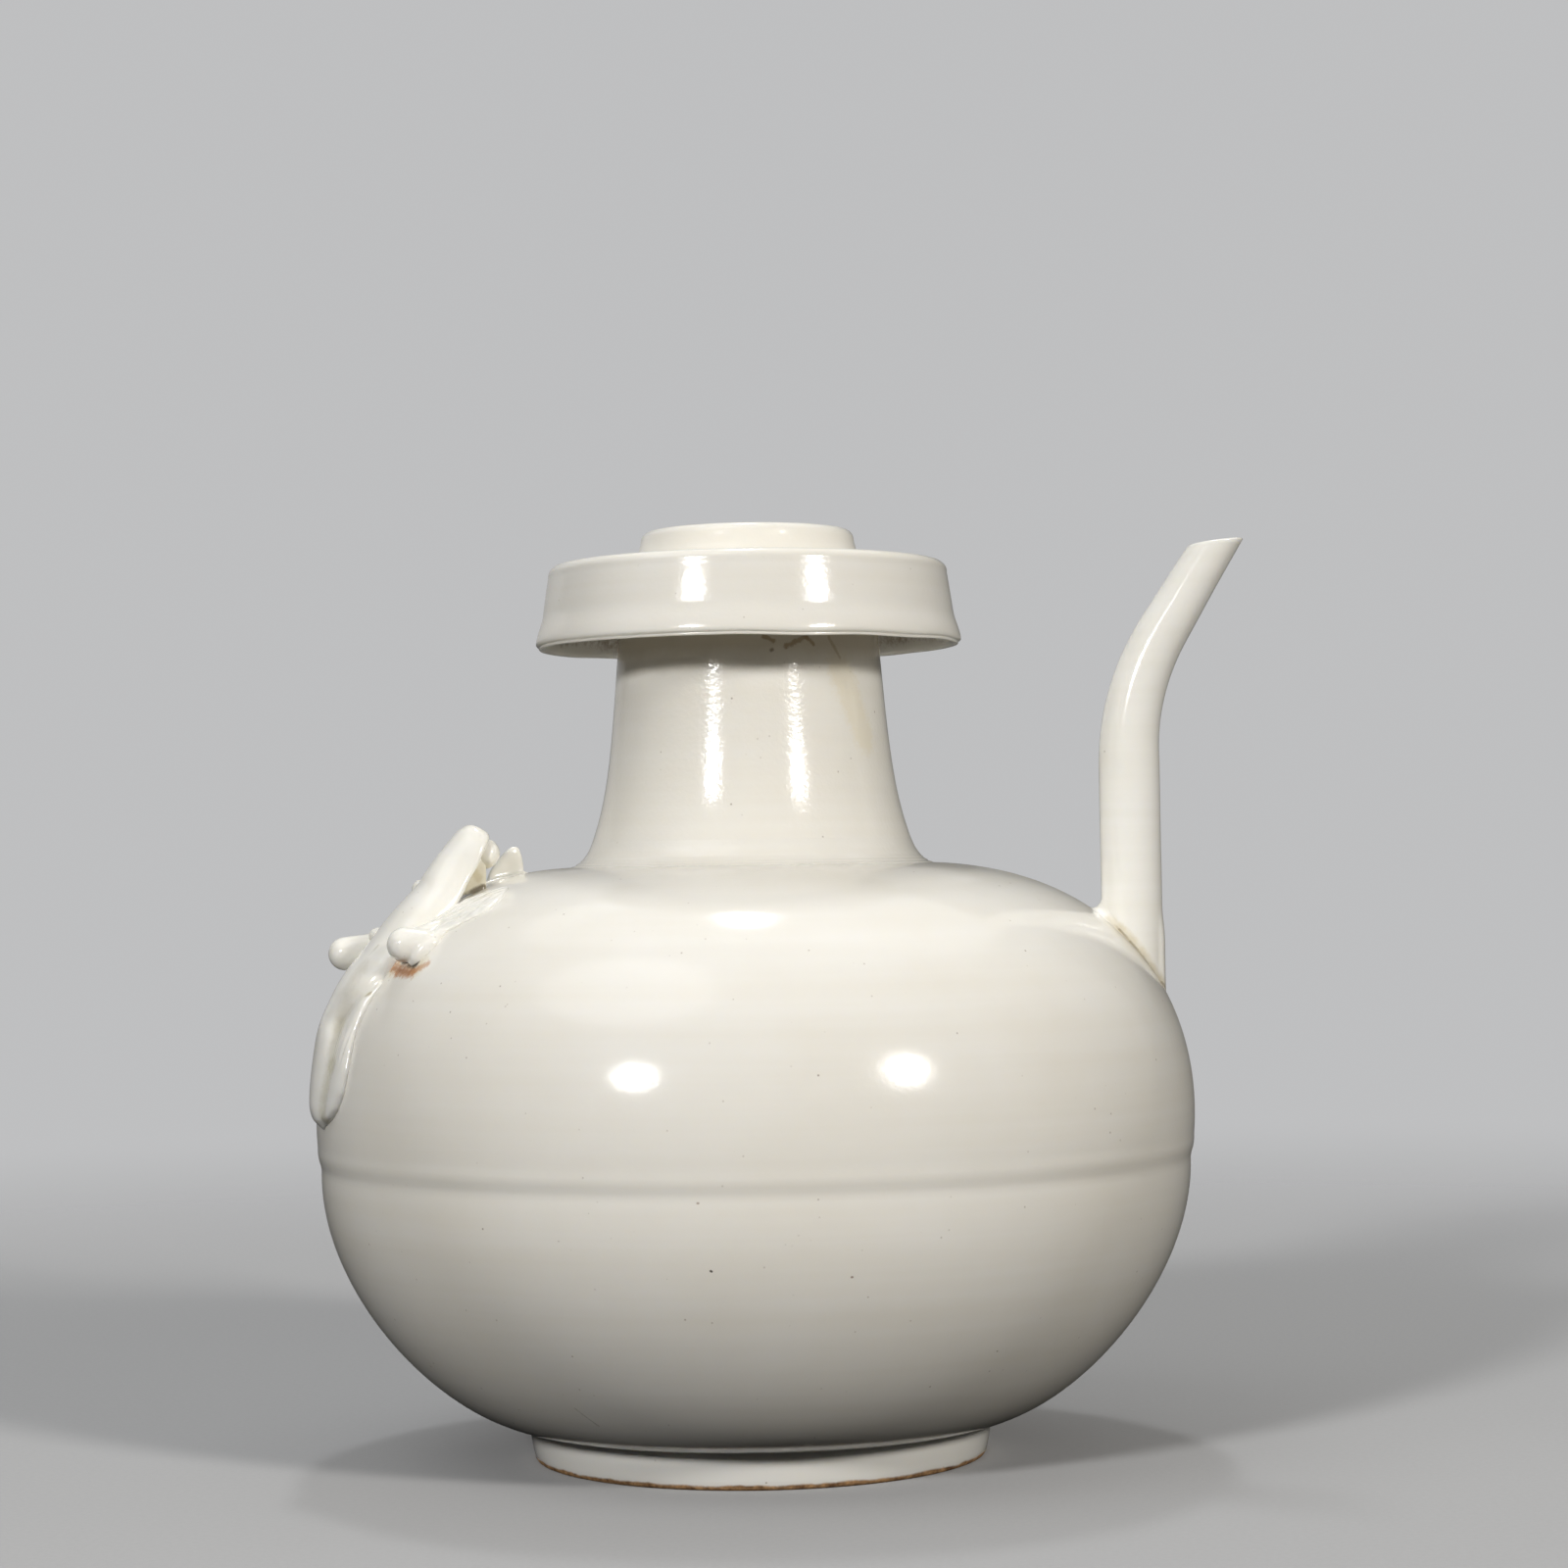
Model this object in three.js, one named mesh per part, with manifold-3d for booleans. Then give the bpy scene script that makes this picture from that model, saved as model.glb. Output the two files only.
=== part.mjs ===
// White glazed porcelain kundika: a squat ewer with a flanged mouth, a slender spout and a strap loop.
// It is put together from thrown and hand-shaped pieces that are luted to each other with clay slip.
// Lengths are in millimetres and angles in degrees. The vessel turns round Z and stands on z = 0.

import * as THREE from 'three';
import { mergeVertices } from 'three/addons/utils/BufferGeometryUtils.js';
import Module from 'manifold-3d';

const wasm = await Module();
wasm.setup();

// Smoothness and the clearance left at every curved or cut contact
const turnSteps = 48;
const smallTurnSteps = 36;
const lutingGap = 0.3;

// Foot ring
const footHeight = 7.5;
const footTopRadius = 47.0;
const footTaper = 1.4;
const footWall = 5.4;
const footEdgeBreak = 0.8;
const footCollarHeight = 1.0;
const footCollarStand = 0.35;

// Bowl, the lower thrown half of the body
const bowlHeight = 54.8;
const bowlRimRadius = 87.6;
const bowlSideReach = 27.3;
const bowlRimLean = 5.7;
const bowlUnderReach = 15.4;
const bodyWall = 4.0;
const baseExtra = 1.2;

// Dome, the upper thrown half of the body. Its rim stands a little outside the bowl's.
const domeHeight = 56.9;
const domeRimStep = 0.8;
const domeSideReach = 27.7;
const domeRimLean = 6.6;
const domeShoulderReach = 39.8;
const domeShoulderSlope = 2.1;

// Luting band round the belly, where the two halves meet
const seamBelow = 3.4;
const seamAbove = 1.4;
const seamStand = 0.45;
const seamDepth = 1.4;

// Neck
const neckHeight = 58.2;
const neckBaseRadius = 34.5;
const neckTopRadius = 25.5;
const neckBaseLean = 23.8;
const neckBaseCurve = 14.9;
const neckTopLean = 4.6;
const neckTopCurve = 35.0;
const neckWall = 3.2;
const neckRingHeight = 1.3;
const neckRingWidth = 1.9;

// Mouth: a wide flange with a hanging skirt, and a low collar round the opening
const mouthRadius = 19.0;
const flangePlate = 3.2;
const flangeTopRadius = 40.8;
const flangeCornerRadius = 2.2;
const skirtDrop = 17.0;
const skirtWall = 2.3;
const rimBandHeight = 8.0;
const rimBandTopFlare = 0.9;
const rimBandLipFlare = 2.4;
const collarHeight = 6.7;
const collarWall = 3.4;
const collarTaper = 0.5;
const collarRounding = 1.6;

// Spout, in the plane y = 0 on the +X side
const spoutInset = 11.5;
const spoutRiser = 37.2;
const spoutBendRadius = 49.0;
const spoutLean = 31.7;
const spoutRun = 20.8;
const spoutRootRadius = 6.1;
const spoutTipRadius = 4.4;
const spoutRootWall = 2.5;
const spoutTipWall = 1.5;
const spoutCutSlope = 6.2;
const spoutClayWidth = 1.7;
const spoutClayHeight = 1.5;

// Strap loop on the shoulder, turned from the spout. Insets are counted in from the belly radius
// and lifts are heights above the shoulder.
const loopTurn = 206.0;
const strapWidth = 11.0;
const strapRounding = 0.6;
const strapRootInset = 7.6;
const strapEndInset = 31.4;
const strapRootStand = 3.8;
const strapBackLift = 6.4;
const strapPeakLift = 13.6;
const strapLegThickness = 2.2;
const passageLength = 4.6;
const passageHeight = 7.0;

// Grooved tail leaf that runs down from the loop
const tailTipAboveSeam = 6.2;
const tailHalfWidth = 10.4;
const tailRollHeight = 4.0;
const tailBladeHeight = 1.6;
const tailGrooveHeight = 1.0;

// Side leaves that hold the strap down: a round knob at the low end, a pressed blade at the high end
const knobRadius = 3.4;
const leafHalfWidth = 6.4;
const leafThickness = 1.7;
const nearLeafAcross = 13.2;
const nearKnobInset = 12.4;
const nearKnobLift = 3.3;
const nearLeafEndInset = 33.7;
const farLeafAcross = 12.6;
const farKnobInset = 9.2;
const farKnobLift = 5.4;
const farLeafEndInset = 42.6;
const farFinHeight = 5.2;

// Clay pellets pressed on beside the loop
const pelletRadius = 1.9;
const lowPelletInset = 11.0;
const lowPelletLift = 5.2;
const highPelletInset = 20.2;
const highPelletLift = 7.4;
const foldPelletInset = 31.2;
const foldPelletLift = 7.8;

// Applied pieces are first modelled this deep into the body, then trimmed to its surface
const buriedDepth = 2.0;

const glaze = { color: 0xebe8df, roughness: 0.12, metalness: 0 };
const paleGlaze = { color: 0xf1efe9, roughness: 0.12, metalness: 0 };
const ivoryGlaze = { color: 0xefebdc, roughness: 0.14, metalness: 0 };

// Radii and heights that follow from the sizes above
const footBottomRadius = footTopRadius - footTaper;
const domeRimRadius = bowlRimRadius + domeRimStep;
const domeTopRadius = neckBaseRadius + neckRingWidth;
const seamZ = footHeight + bowlHeight;
const domeTopZ = seamZ + domeHeight;
const neckTopZ = domeTopZ + neckHeight;
const flangeTopZ = neckTopZ + flangePlate;
const collarTopZ = flangeTopZ + collarHeight;

const radians = THREE.MathUtils.degToRad;
const point = (r, z) => new THREE.Vector2(r, z);

function towards(from, angle, length) {
  return point(from.x + length * Math.cos(angle), from.y + length * Math.sin(angle));
}

// Moves an outline that runs upwards to its left by a wall, or to its right with a negative wall
function offset(outline, wall) {
  return outline.map((p, i) => {
    const before = outline[Math.max(i - 1, 0)];
    const after = outline[Math.min(i + 1, outline.length - 1)];
    const along = after.clone().sub(before).normalize();
    return point(p.x - along.y * wall, p.y + along.x * wall);
  });
}

function crossing(a, b, z) {
  const share = (z - a.y) / (b.y - a.y);
  return point(a.x + (b.x - a.x) * share, z);
}

// The part of a rising outline between two heights, with exact end points
function between(outline, low, high) {
  const kept = [];
  outline.forEach((p, i) => {
    const q = outline[i + 1];
    if (p.y > low && p.y < high) {
      kept.push(p);
    }
    if (q && p.y <= low && q.y > low) {
      kept.push(crossing(p, q, low));
    }
    if (q && p.y < high && q.y >= high) {
      kept.push(crossing(p, q, high));
    }
  });
  return kept;
}

function radiusAt(outline, z) {
  for (let i = 1; i < outline.length; i += 1) {
    if (outline[i].y >= z) {
      return crossing(outline[i - 1], outline[i], z).x;
    }
  }
  return outline.at(-1).x;
}

// Height of the shoulder at a radius, read from the neck outwards
function heightAt(outline, radius) {
  for (let i = outline.length - 1; i > 0; i -= 1) {
    const inner = outline[i];
    const outer = outline[i - 1];
    if (outer.x >= radius) {
      return inner.y + (outer.y - inner.y) * (radius - inner.x) / (outer.x - inner.x);
    }
  }
  return outline[0].y;
}

function bowlOutline(steps) {
  const foot = point(footTopRadius, footHeight);
  const rim = point(bowlRimRadius, seamZ);
  const under = point(foot.x + bowlUnderReach, foot.y);
  const side = towards(rim, radians(bowlRimLean - 90), bowlSideReach);
  return new THREE.CubicBezierCurve(foot, under, side, rim).getPoints(steps);
}

function domeOutline(steps) {
  const rim = point(domeRimRadius, seamZ);
  const top = point(domeTopRadius, domeTopZ);
  const side = towards(rim, radians(90 - domeRimLean), domeSideReach);
  const shoulder = towards(top, radians(-domeShoulderSlope), domeShoulderReach);
  return new THREE.CubicBezierCurve(rim, side, shoulder, top).getPoints(steps);
}

const dome = domeOutline(80);
const shoulderPoint = (inset, lift) => {
  const radius = domeRimRadius - inset;
  return point(radius, heightAt(dome, radius) + lift);
};

// Keeps position only, joins shared vertices and drops flat triangles, as on a turning axis
function joined(geometry) {
  const source = geometry.clone();
  source.deleteAttribute('normal');
  source.deleteAttribute('uv');
  const merged = mergeVertices(source, 1e-4);
  const old = merged.index.array;
  const index = [];
  for (let i = 0; i < old.length; i += 3) {
    const [a, b, c] = [old[i], old[i + 1], old[i + 2]];
    if (a !== b && b !== c && c !== a) {
      index.push(a, b, c);
    }
  }
  merged.setIndex(index);
  return merged;
}

// A closed outline given anticlockwise, turned round Z
function turned(outline, steps = turnSteps) {
  const closed = [...outline, outline[0]];
  const geometry = new THREE.LatheGeometry(closed, steps);
  geometry.rotateX(Math.PI / 2);
  return joined(geometry);
}

// A skin through rings of equal count, closed at both ends, with outward faces when the rings
// run anticlockwise seen from the far end
function lofted(rings) {
  const count = rings[0].length;
  const positions = rings.flat().flatMap((p) => [p.x, p.y, p.z]);
  const index = [];
  for (let k = 0; k + 1 < rings.length; k += 1) {
    for (let i = 0; i < count; i += 1) {
      const j = (i + 1) % count;
      const a = k * count + i;
      const b = k * count + j;
      index.push(a, b, b + count, a, b + count, a + count);
    }
  }
  const caps = [0, rings.length - 1];
  caps.forEach((k) => {
    const centre = rings[k].reduce((sum, p) => sum.add(p), new THREE.Vector3()).divideScalar(count);
    const hub = positions.length / 3;
    positions.push(centre.x, centre.y, centre.z);
    for (let i = 0; i < count; i += 1) {
      const a = k * count + i;
      const b = k * count + (i + 1) % count;
      index.push(...(k === 0 ? [hub, b, a] : [hub, a, b]));
    }
  });
  const geometry = new THREE.BufferGeometry();
  geometry.setAttribute('position', new THREE.Float32BufferAttribute(positions, 3));
  geometry.setIndex(index);
  return geometry;
}

function solid(geometry) {
  const clean = joined(geometry);
  const vertProperties = new Float32Array(clean.attributes.position.array);
  const triVerts = new Uint32Array(clean.index.array);
  return new wasm.Manifold(new wasm.Mesh({ numProp: 3, vertProperties, triVerts }));
}

function shell(body) {
  const mesh = body.getMesh();
  const geometry = new THREE.BufferGeometry();
  geometry.setAttribute('position', new THREE.Float32BufferAttribute(mesh.vertProperties, 3));
  geometry.setIndex(new THREE.Uint32BufferAttribute(mesh.triVerts, 1));
  return geometry;
}

// The whole body as one full solid, grown by a clearance, to cut the seats of applied pieces
function bodyEnvelope(clearance) {
  const sides = [...bowlOutline(16), ...domeOutline(24).slice(1)];
  const grown = offset(sides, -clearance);
  const bottom = point(0, grown[0].y);
  const top = point(0, grown.at(-1).y);
  return solid(turned([bottom, ...grown, top]));
}

const envelope = bodyEnvelope(lutingGap);

function footRing() {
  const inner = footTopRadius - footWall;
  const collarFoot = footHeight - footCollarHeight;
  return turned([
    point(inner - footEdgeBreak, 0),
    point(footBottomRadius - footEdgeBreak, 0),
    point(footBottomRadius, footEdgeBreak),
    point(footTopRadius, collarFoot - footCollarStand),
    point(footTopRadius + footCollarStand, collarFoot + footCollarStand),
    point(footTopRadius + footCollarStand, footHeight - footCollarStand),
    point(footTopRadius, footHeight),
    point(inner, footHeight),
    point(inner, footEdgeBreak * 2),
  ]);
}

function bowl() {
  const floorZ = footHeight + bodyWall + baseExtra;
  const outer = between(bowlOutline(14), footHeight, seamZ - seamBelow);
  const inner = offset(bowlOutline(9), bodyWall).filter((p) => p.y < seamZ - seamBelow);
  const wetSide = between(inner, floorZ, seamZ).reverse();
  const rebate = bowlRimRadius - seamDepth;
  return turned([
    point(0, footHeight),
    point(footTopRadius, footHeight),
    ...outer,
    point(rebate, seamZ - seamBelow),
    point(rebate, seamZ),
    point(bowlRimRadius - bodyWall, seamZ),
    ...wetSide,
    point(0, floorZ),
  ]);
}

function domeShell() {
  const opening = neckBaseRadius - neckWall;
  const outer = between(domeOutline(20), seamZ + seamAbove, domeTopZ);
  const inner = offset(domeOutline(11), bodyWall).filter((p) => p.x > opening && p.y > seamZ + seamAbove);
  const rebate = bowlRimRadius - seamDepth;
  return turned([
    point(bowlRimRadius - bodyWall, seamZ),
    point(rebate, seamZ),
    point(rebate, seamZ + seamAbove),
    ...outer,
    point(domeTopRadius, domeTopZ),
    point(opening, domeTopZ),
    point(opening, domeTopZ - bodyWall),
    ...inner.reverse(),
  ]);
}

function seamBand() {
  const bottomZ = seamZ - seamBelow;
  const topZ = seamZ + seamAbove;
  const inner = bowlRimRadius - seamDepth + lutingGap;
  const low = radiusAt(bowlOutline(60), bottomZ);
  const high = radiusAt(dome, topZ);
  const peak = domeRimRadius + seamStand;
  return turned([
    point(inner, bottomZ),
    point(low, bottomZ),
    point((low * 2 + peak) / 3, bottomZ + seamBelow * 0.45),
    point(peak - seamStand * 0.25, seamZ - seamBelow * 0.15),
    point(peak, seamZ + seamAbove * 0.25),
    point(high, topZ),
    point(inner, topZ),
  ]);
}

function neckOutline(steps) {
  const base = point(neckBaseRadius, domeTopZ);
  const top = point(neckTopRadius, neckTopZ);
  const flare = towards(base, radians(90 + neckBaseLean), neckBaseCurve);
  const waist = towards(top, radians(neckTopLean - 90), neckTopCurve);
  return new THREE.CubicBezierCurve(base, flare, waist, top).getPoints(steps);
}

function neckTube() {
  const outer = neckOutline(10);
  const inner = neckOutline(5).map((p) => point(p.x - neckWall, p.y));
  return turned([...outer, ...inner.reverse()]);
}

function neckRing() {
  const inner = neckBaseRadius + lutingGap;
  const width = domeTopRadius - inner;
  return turned([
    point(inner, domeTopZ),
    point(domeTopRadius, domeTopZ),
    point(domeTopRadius, domeTopZ + neckRingHeight * 0.45),
    point(domeTopRadius - width * 0.3, domeTopZ + neckRingHeight),
    point(inner, domeTopZ + neckRingHeight),
  ]);
}

function quarterArc(centre, radius, fromAngle, toAngle, steps) {
  const arc = [];
  for (let i = 0; i <= steps; i += 1) {
    arc.push(towards(centre, radians(fromAngle + (toAngle - fromAngle) * i / steps), radius));
  }
  return arc;
}

function mouthFlange() {
  const lipZ = flangeTopZ - skirtDrop;
  const bandTop = point(flangeTopRadius + rimBandTopFlare, lipZ + rimBandHeight);
  const lipRadius = flangeTopRadius + rimBandLipFlare;
  const lipRound = skirtWall / 2;
  const lipCentre = point(lipRadius - lipRound, lipZ + lipRound);
  const corner = point(flangeTopRadius - flangeCornerRadius, flangeTopZ - flangeCornerRadius);
  const insideTop = flangeTopRadius - skirtWall;
  return turned([
    ...quarterArc(lipCentre, lipRound, 180, 360, 4),
    point(lipRadius, lipZ + rimBandHeight * 0.35),
    point((lipRadius + bandTop.x) / 2, lipZ + rimBandHeight * 0.62),
    bandTop,
    ...quarterArc(corner, flangeCornerRadius, 0, 90, 4),
    point(mouthRadius, flangeTopZ),
    point(mouthRadius, neckTopZ),
    point(insideTop - flangeCornerRadius, neckTopZ),
    point(insideTop, neckTopZ - flangeCornerRadius),
    point(bandTop.x - skirtWall, bandTop.y),
  ]);
}

function mouthCollar() {
  const base = mouthRadius + collarWall;
  const top = base - collarTaper;
  const round = point(top - collarRounding, collarTopZ - collarRounding);
  const inside = point(mouthRadius + collarRounding / 2, collarTopZ - collarRounding / 2);
  return turned([
    point(mouthRadius, flangeTopZ),
    point(base, flangeTopZ),
    ...quarterArc(round, collarRounding, 0, 90, 4),
    ...quarterArc(inside, collarRounding / 2, 90, 180, 2),
  ], smallTurnSteps);
}

// Centre line of the spout in the plane y = 0: riser, bend and straight run. Each station has its
// direction and the length along which the spout has been getting thinner.
function spoutStations() {
  const root = shoulderPoint(spoutInset, 0);
  const start = { at: root.clone().setY(root.y - spoutRootRadius * 2), angle: 0, length: 0 };
  const bendStart = point(root.x, root.y + spoutRiser);
  const bendCentre = point(bendStart.x + spoutBendRadius, bendStart.y);
  const stations = [start, { at: point(root.x, root.y + spoutRiser * 0.4), angle: 0, length: 0 }];
  const bendSteps = 6;
  for (let i = 0; i <= bendSteps; i += 1) {
    const angle = radians(spoutLean) * i / bendSteps;
    const at = towards(bendCentre, Math.PI - angle, spoutBendRadius);
    stations.push({ at, angle, length: spoutBendRadius * angle });
  }
  const bendEnd = stations.at(-1);
  const tip = towards(bendEnd.at, Math.PI / 2 - bendEnd.angle, spoutRun);
  stations.push({ at: tip, angle: bendEnd.angle, length: bendEnd.length + spoutRun });
  return stations;
}

function spoutSkin(rootRadius, tipRadius, overrun, sides) {
  const stations = spoutStations();
  const wholeLength = stations.at(-1).length;
  const rings = stations.map(({ at, angle, length }, k) => {
    const radius = rootRadius + (tipRadius - rootRadius) * length / wholeLength;
    const across = new THREE.Vector3(Math.cos(angle), 0, -Math.sin(angle));
    const along = new THREE.Vector3(Math.sin(angle), 0, Math.cos(angle));
    const last = k === stations.length - 1;
    const cut = radians(spoutCutSlope);
    const cutNormal = new THREE.Vector3(-Math.sin(cut), 0, Math.cos(cut));
    const ring = [];
    for (let i = 0; i < sides; i += 1) {
      const turn = 2 * Math.PI * i / sides;
      const p = across.clone().multiplyScalar(radius * Math.cos(turn));
      p.y = radius * Math.sin(turn);
      if (last) {
        p.addScaledVector(along, overrun - p.dot(cutNormal) / along.dot(cutNormal));
      }
      ring.push(p.add(new THREE.Vector3(at.x, 0, at.y)));
    }
    return ring;
  });
  return solid(lofted(rings));
}

const spoutBore = (overrun) => {
  return spoutSkin(spoutRootRadius - spoutRootWall, spoutTipRadius - spoutTipWall, overrun, 16);
};

function spoutTube() {
  const tube = spoutSkin(spoutRootRadius, spoutTipRadius, 0, 24);
  return shell(tube.subtract(spoutBore(spoutTipRadius)).subtract(envelope));
}

function spoutClay() {
  const outer = spoutRootRadius + lutingGap + spoutClayWidth;
  const root = shoulderPoint(spoutInset, 0);
  const reach = spoutClayHeight + spoutRootRadius * 3;
  const pad = turned([point(0, -reach), point(outer, -reach), point(outer, reach), point(0, reach)], 24);
  const core = new THREE.CylinderGeometry(
    spoutRootRadius + lutingGap, spoutRootRadius + lutingGap, reach * 3, 24,
  );
  core.rotateX(Math.PI / 2);
  pad.translate(root.x, 0, root.y);
  core.translate(root.x, 0, root.y);
  const skin = bodyEnvelope(lutingGap + spoutClayHeight);
  return shell(solid(pad).intersect(skin).subtract(solid(core)).subtract(envelope));
}

// Turns a piece made with its radial line along +X to its place on the shoulder
function onLoopLine(geometry) {
  geometry.rotateZ(radians(loopTurn));
  return geometry;
}

function strapProfile() {
  const root = shoulderPoint(strapRootInset, 0);
  const away = surfaceNormal(root.y);
  const rootFoot = root.clone().addScaledVector(away, -buriedDepth);
  const rootTop = root.clone().addScaledVector(away, strapRootStand);
  const legInset = strapEndInset - strapLegThickness;
  // Places along the strap by a share of its run and of its height at the back or at the peak
  const outerPoint = (share, lift) => {
    return shoulderPoint(strapRootInset + (strapEndInset - strapRootInset) * share, lift);
  };
  const shape = new THREE.Shape();
  shape.moveTo(rootFoot.x, rootFoot.y);
  shape.lineTo(rootTop.x, rootTop.y);
  shape.splineThru([
    outerPoint(0.2, strapBackLift * 0.95),
    outerPoint(0.36, strapBackLift * 1.02),
    outerPoint(0.53, strapBackLift * 1.2),
    outerPoint(0.72, strapPeakLift * 0.82),
    outerPoint(0.82, strapPeakLift * 0.96),
    outerPoint(0.895, strapPeakLift),
    outerPoint(0.96, strapPeakLift * 0.93),
    outerPoint(0.996, strapPeakLift * 0.72),
    outerPoint(1, strapPeakLift * 0.5),
  ]);
  [
    shoulderPoint(strapEndInset, -buriedDepth),
    shoulderPoint(legInset, -buriedDepth),
    shoulderPoint(legInset, passageHeight * 0.8),
  ].forEach((p) => shape.lineTo(p.x, p.y));
  shape.splineThru([
    shoulderPoint(legInset - passageLength * 0.15, passageHeight),
    shoulderPoint(legInset - passageLength * 0.35, passageHeight * 0.8),
    shoulderPoint(legInset - passageLength * 0.78, passageHeight * 0.4),
  ]);
  const passageEnd = shoulderPoint(legInset - passageLength, -buriedDepth);
  shape.lineTo(passageEnd.x, passageEnd.y);
  return shape;
}

function loopStrap() {
  const geometry = new THREE.ExtrudeGeometry(strapProfile(), {
    depth: strapWidth - 2 * strapRounding,
    bevelEnabled: true,
    bevelThickness: strapRounding,
    bevelSize: strapRounding,
    bevelOffset: -strapRounding,
    bevelSegments: 2,
    curveSegments: 4,
    steps: 1,
  });
  geometry.translate(0, 0, strapRounding - strapWidth / 2);
  geometry.rotateX(Math.PI / 2);
  return shell(solid(onLoopLine(geometry)).subtract(envelope));
}

// A ring across a leaf: places from edge to edge with their heights above the shoulder
function leafRing(radius, z, normal, section) {
  return section.map(([across, height]) => new THREE.Vector3(
    radius + normal.x * height - across * across / (2 * radius),
    across,
    z + normal.y * height,
  ));
}

function surfaceNormal(z) {
  const step = 0.5;
  const rise = point(radiusAt(dome, z + step) - radiusAt(dome, z - step), 2 * step).normalize();
  return point(rise.y, -rise.x);
}

function tailLeaf() {
  const topZ = shoulderPoint(strapRootInset - lutingGap, 0).y;
  const tipZ = seamZ + tailTipAboveSeam;
  const stationCount = 12;
  const rings = [];
  for (let k = 0; k <= stationCount; k += 1) {
    const share = k / stationCount;
    const z = tipZ + (topZ - tipZ) * (1 - share);
    const spread = Math.min(1, 0.62 + share * 1.2) * Math.sqrt(Math.max(1 - share ** 5, 0.012));
    const wide = tailHalfWidth * spread;
    const high = 1.1 - 0.35 * share - 0.55 * share ** 8;
    rings.push(leafRing(radiusAt(dome, z), z, surfaceNormal(z), [
      [wide, -buriedDepth],
      [wide, tailBladeHeight * 0.35 * high],
      [wide * 0.72, tailBladeHeight * high],
      [wide * 0.3, tailBladeHeight * 0.95 * high],
      [0, tailGrooveHeight * high],
      [-wide * 0.18, tailRollHeight * 0.62 * high],
      [-wide * 0.45, tailRollHeight * high],
      [-wide * 0.75, tailRollHeight * 0.78 * high],
      [-wide * 0.88, tailRollHeight * 0.3 * high],
      [-wide * 0.88, -buriedDepth],
    ]));
  }
  return shell(solid(onLoopLine(lofted(rings))).subtract(envelope));
}

// Rings along a side leaf, from inside its knob to the pressed end, or to a fin that stands up
function leafStations({ knobInset, knobLift, endInset, fin }) {
  const bladeStart = knobInset + knobRadius * 2.2;
  const bladeMiddle = (bladeStart + endInset) / 2 - fin * 0.6;
  const waist = knobRadius * 0.75;
  const finStart = endInset - leafThickness * 1.76 - fin;
  const finInset = endInset - leafThickness * 0.82 - fin * 0.25;
  const finTop = leafThickness * 0.8 + fin;
  return [
    { inset: knobInset, lift: knobLift, wide: waist, high: waist },
    { inset: knobInset + knobRadius * 1.2, lift: knobLift * 0.5, wide: waist, high: waist * 0.85 },
    { inset: bladeStart, lift: leafThickness * 0.12, wide: leafHalfWidth * 0.8, high: leafThickness },
    { inset: bladeMiddle, lift: 0, wide: leafHalfWidth, high: leafThickness },
    { inset: finStart, lift: 0, wide: leafHalfWidth * 0.8, high: leafThickness + fin / 10 },
    { inset: finInset, lift: 0, wide: leafHalfWidth * 0.5, high: finTop },
    { inset: endInset, lift: 0, wide: leafHalfWidth * 0.1, high: leafThickness * 0.4 },
  ];
}

// The ball at the low end of a side leaf, standing off the shoulder
function leafKnob({ side, across, knobInset, knobLift }) {
  const foot = shoulderPoint(knobInset, 0);
  const centre = foot.clone().addScaledVector(surfaceNormal(foot.y), knobLift);
  const t = side * (across + knobRadius * 0.5);
  const ball = new THREE.SphereGeometry(knobRadius, 16, 12);
  ball.translate(Math.sqrt(centre.x ** 2 - t ** 2), t, centre.y);
  return solid(onLoopLine(ball));
}

function sideLeaf(leaf) {
  const sides = 12;
  const rings = leafStations(leaf).map(({ inset, lift, wide, high }) => {
    const place = shoulderPoint(inset, 0);
    const normal = surfaceNormal(place.y);
    const ring = [];
    for (let i = 0; i < sides; i += 1) {
      const turn = 2 * Math.PI * i / sides;
      const reach = lift + high * Math.sin(turn);
      const t = leaf.side * leaf.across - wide * Math.cos(turn);
      const radius = Math.sqrt(place.x ** 2 - t ** 2);
      ring.push(new THREE.Vector3(radius + normal.x * reach, t, place.y + normal.y * reach));
    }
    return ring;
  });
  const strip = solid(onLoopLine(lofted(rings)));
  return shell(strip.add(leafKnob(leaf)).subtract(envelope));
}

// A pellet pressed flat on one side of the strap, at an inset and a lift
function sidePellet(side, inset, lift) {
  const place = shoulderPoint(inset, lift);
  const face = side * (strapWidth / 2 + lutingGap);
  const ball = new THREE.SphereGeometry(pelletRadius, 14, 10);
  ball.translate(place.x, face, place.y);
  const block = new THREE.BoxGeometry(pelletRadius * 4, pelletRadius * 4, pelletRadius * 4);
  block.translate(place.x, face - side * pelletRadius * 2, place.y);
  return shell(solid(onLoopLine(ball)).subtract(solid(onLoopLine(block))));
}

const nearLeaf = {
  side: 1,
  across: nearLeafAcross,
  knobInset: nearKnobInset,
  knobLift: nearKnobLift,
  endInset: nearLeafEndInset,
  fin: 0,
};
const farLeaf = {
  side: -1,
  across: farLeafAcross,
  knobInset: farKnobInset,
  knobLift: farKnobLift,
  endInset: farLeafEndInset,
  fin: farFinHeight,
};

const clayBody = new THREE.Group();

function add(name, geometry, finish) {
  geometry.computeVertexNormals();
  const mesh = new THREE.Mesh(geometry, new THREE.MeshStandardMaterial(finish));
  mesh.name = name;
  clayBody.add(mesh);
}

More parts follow.
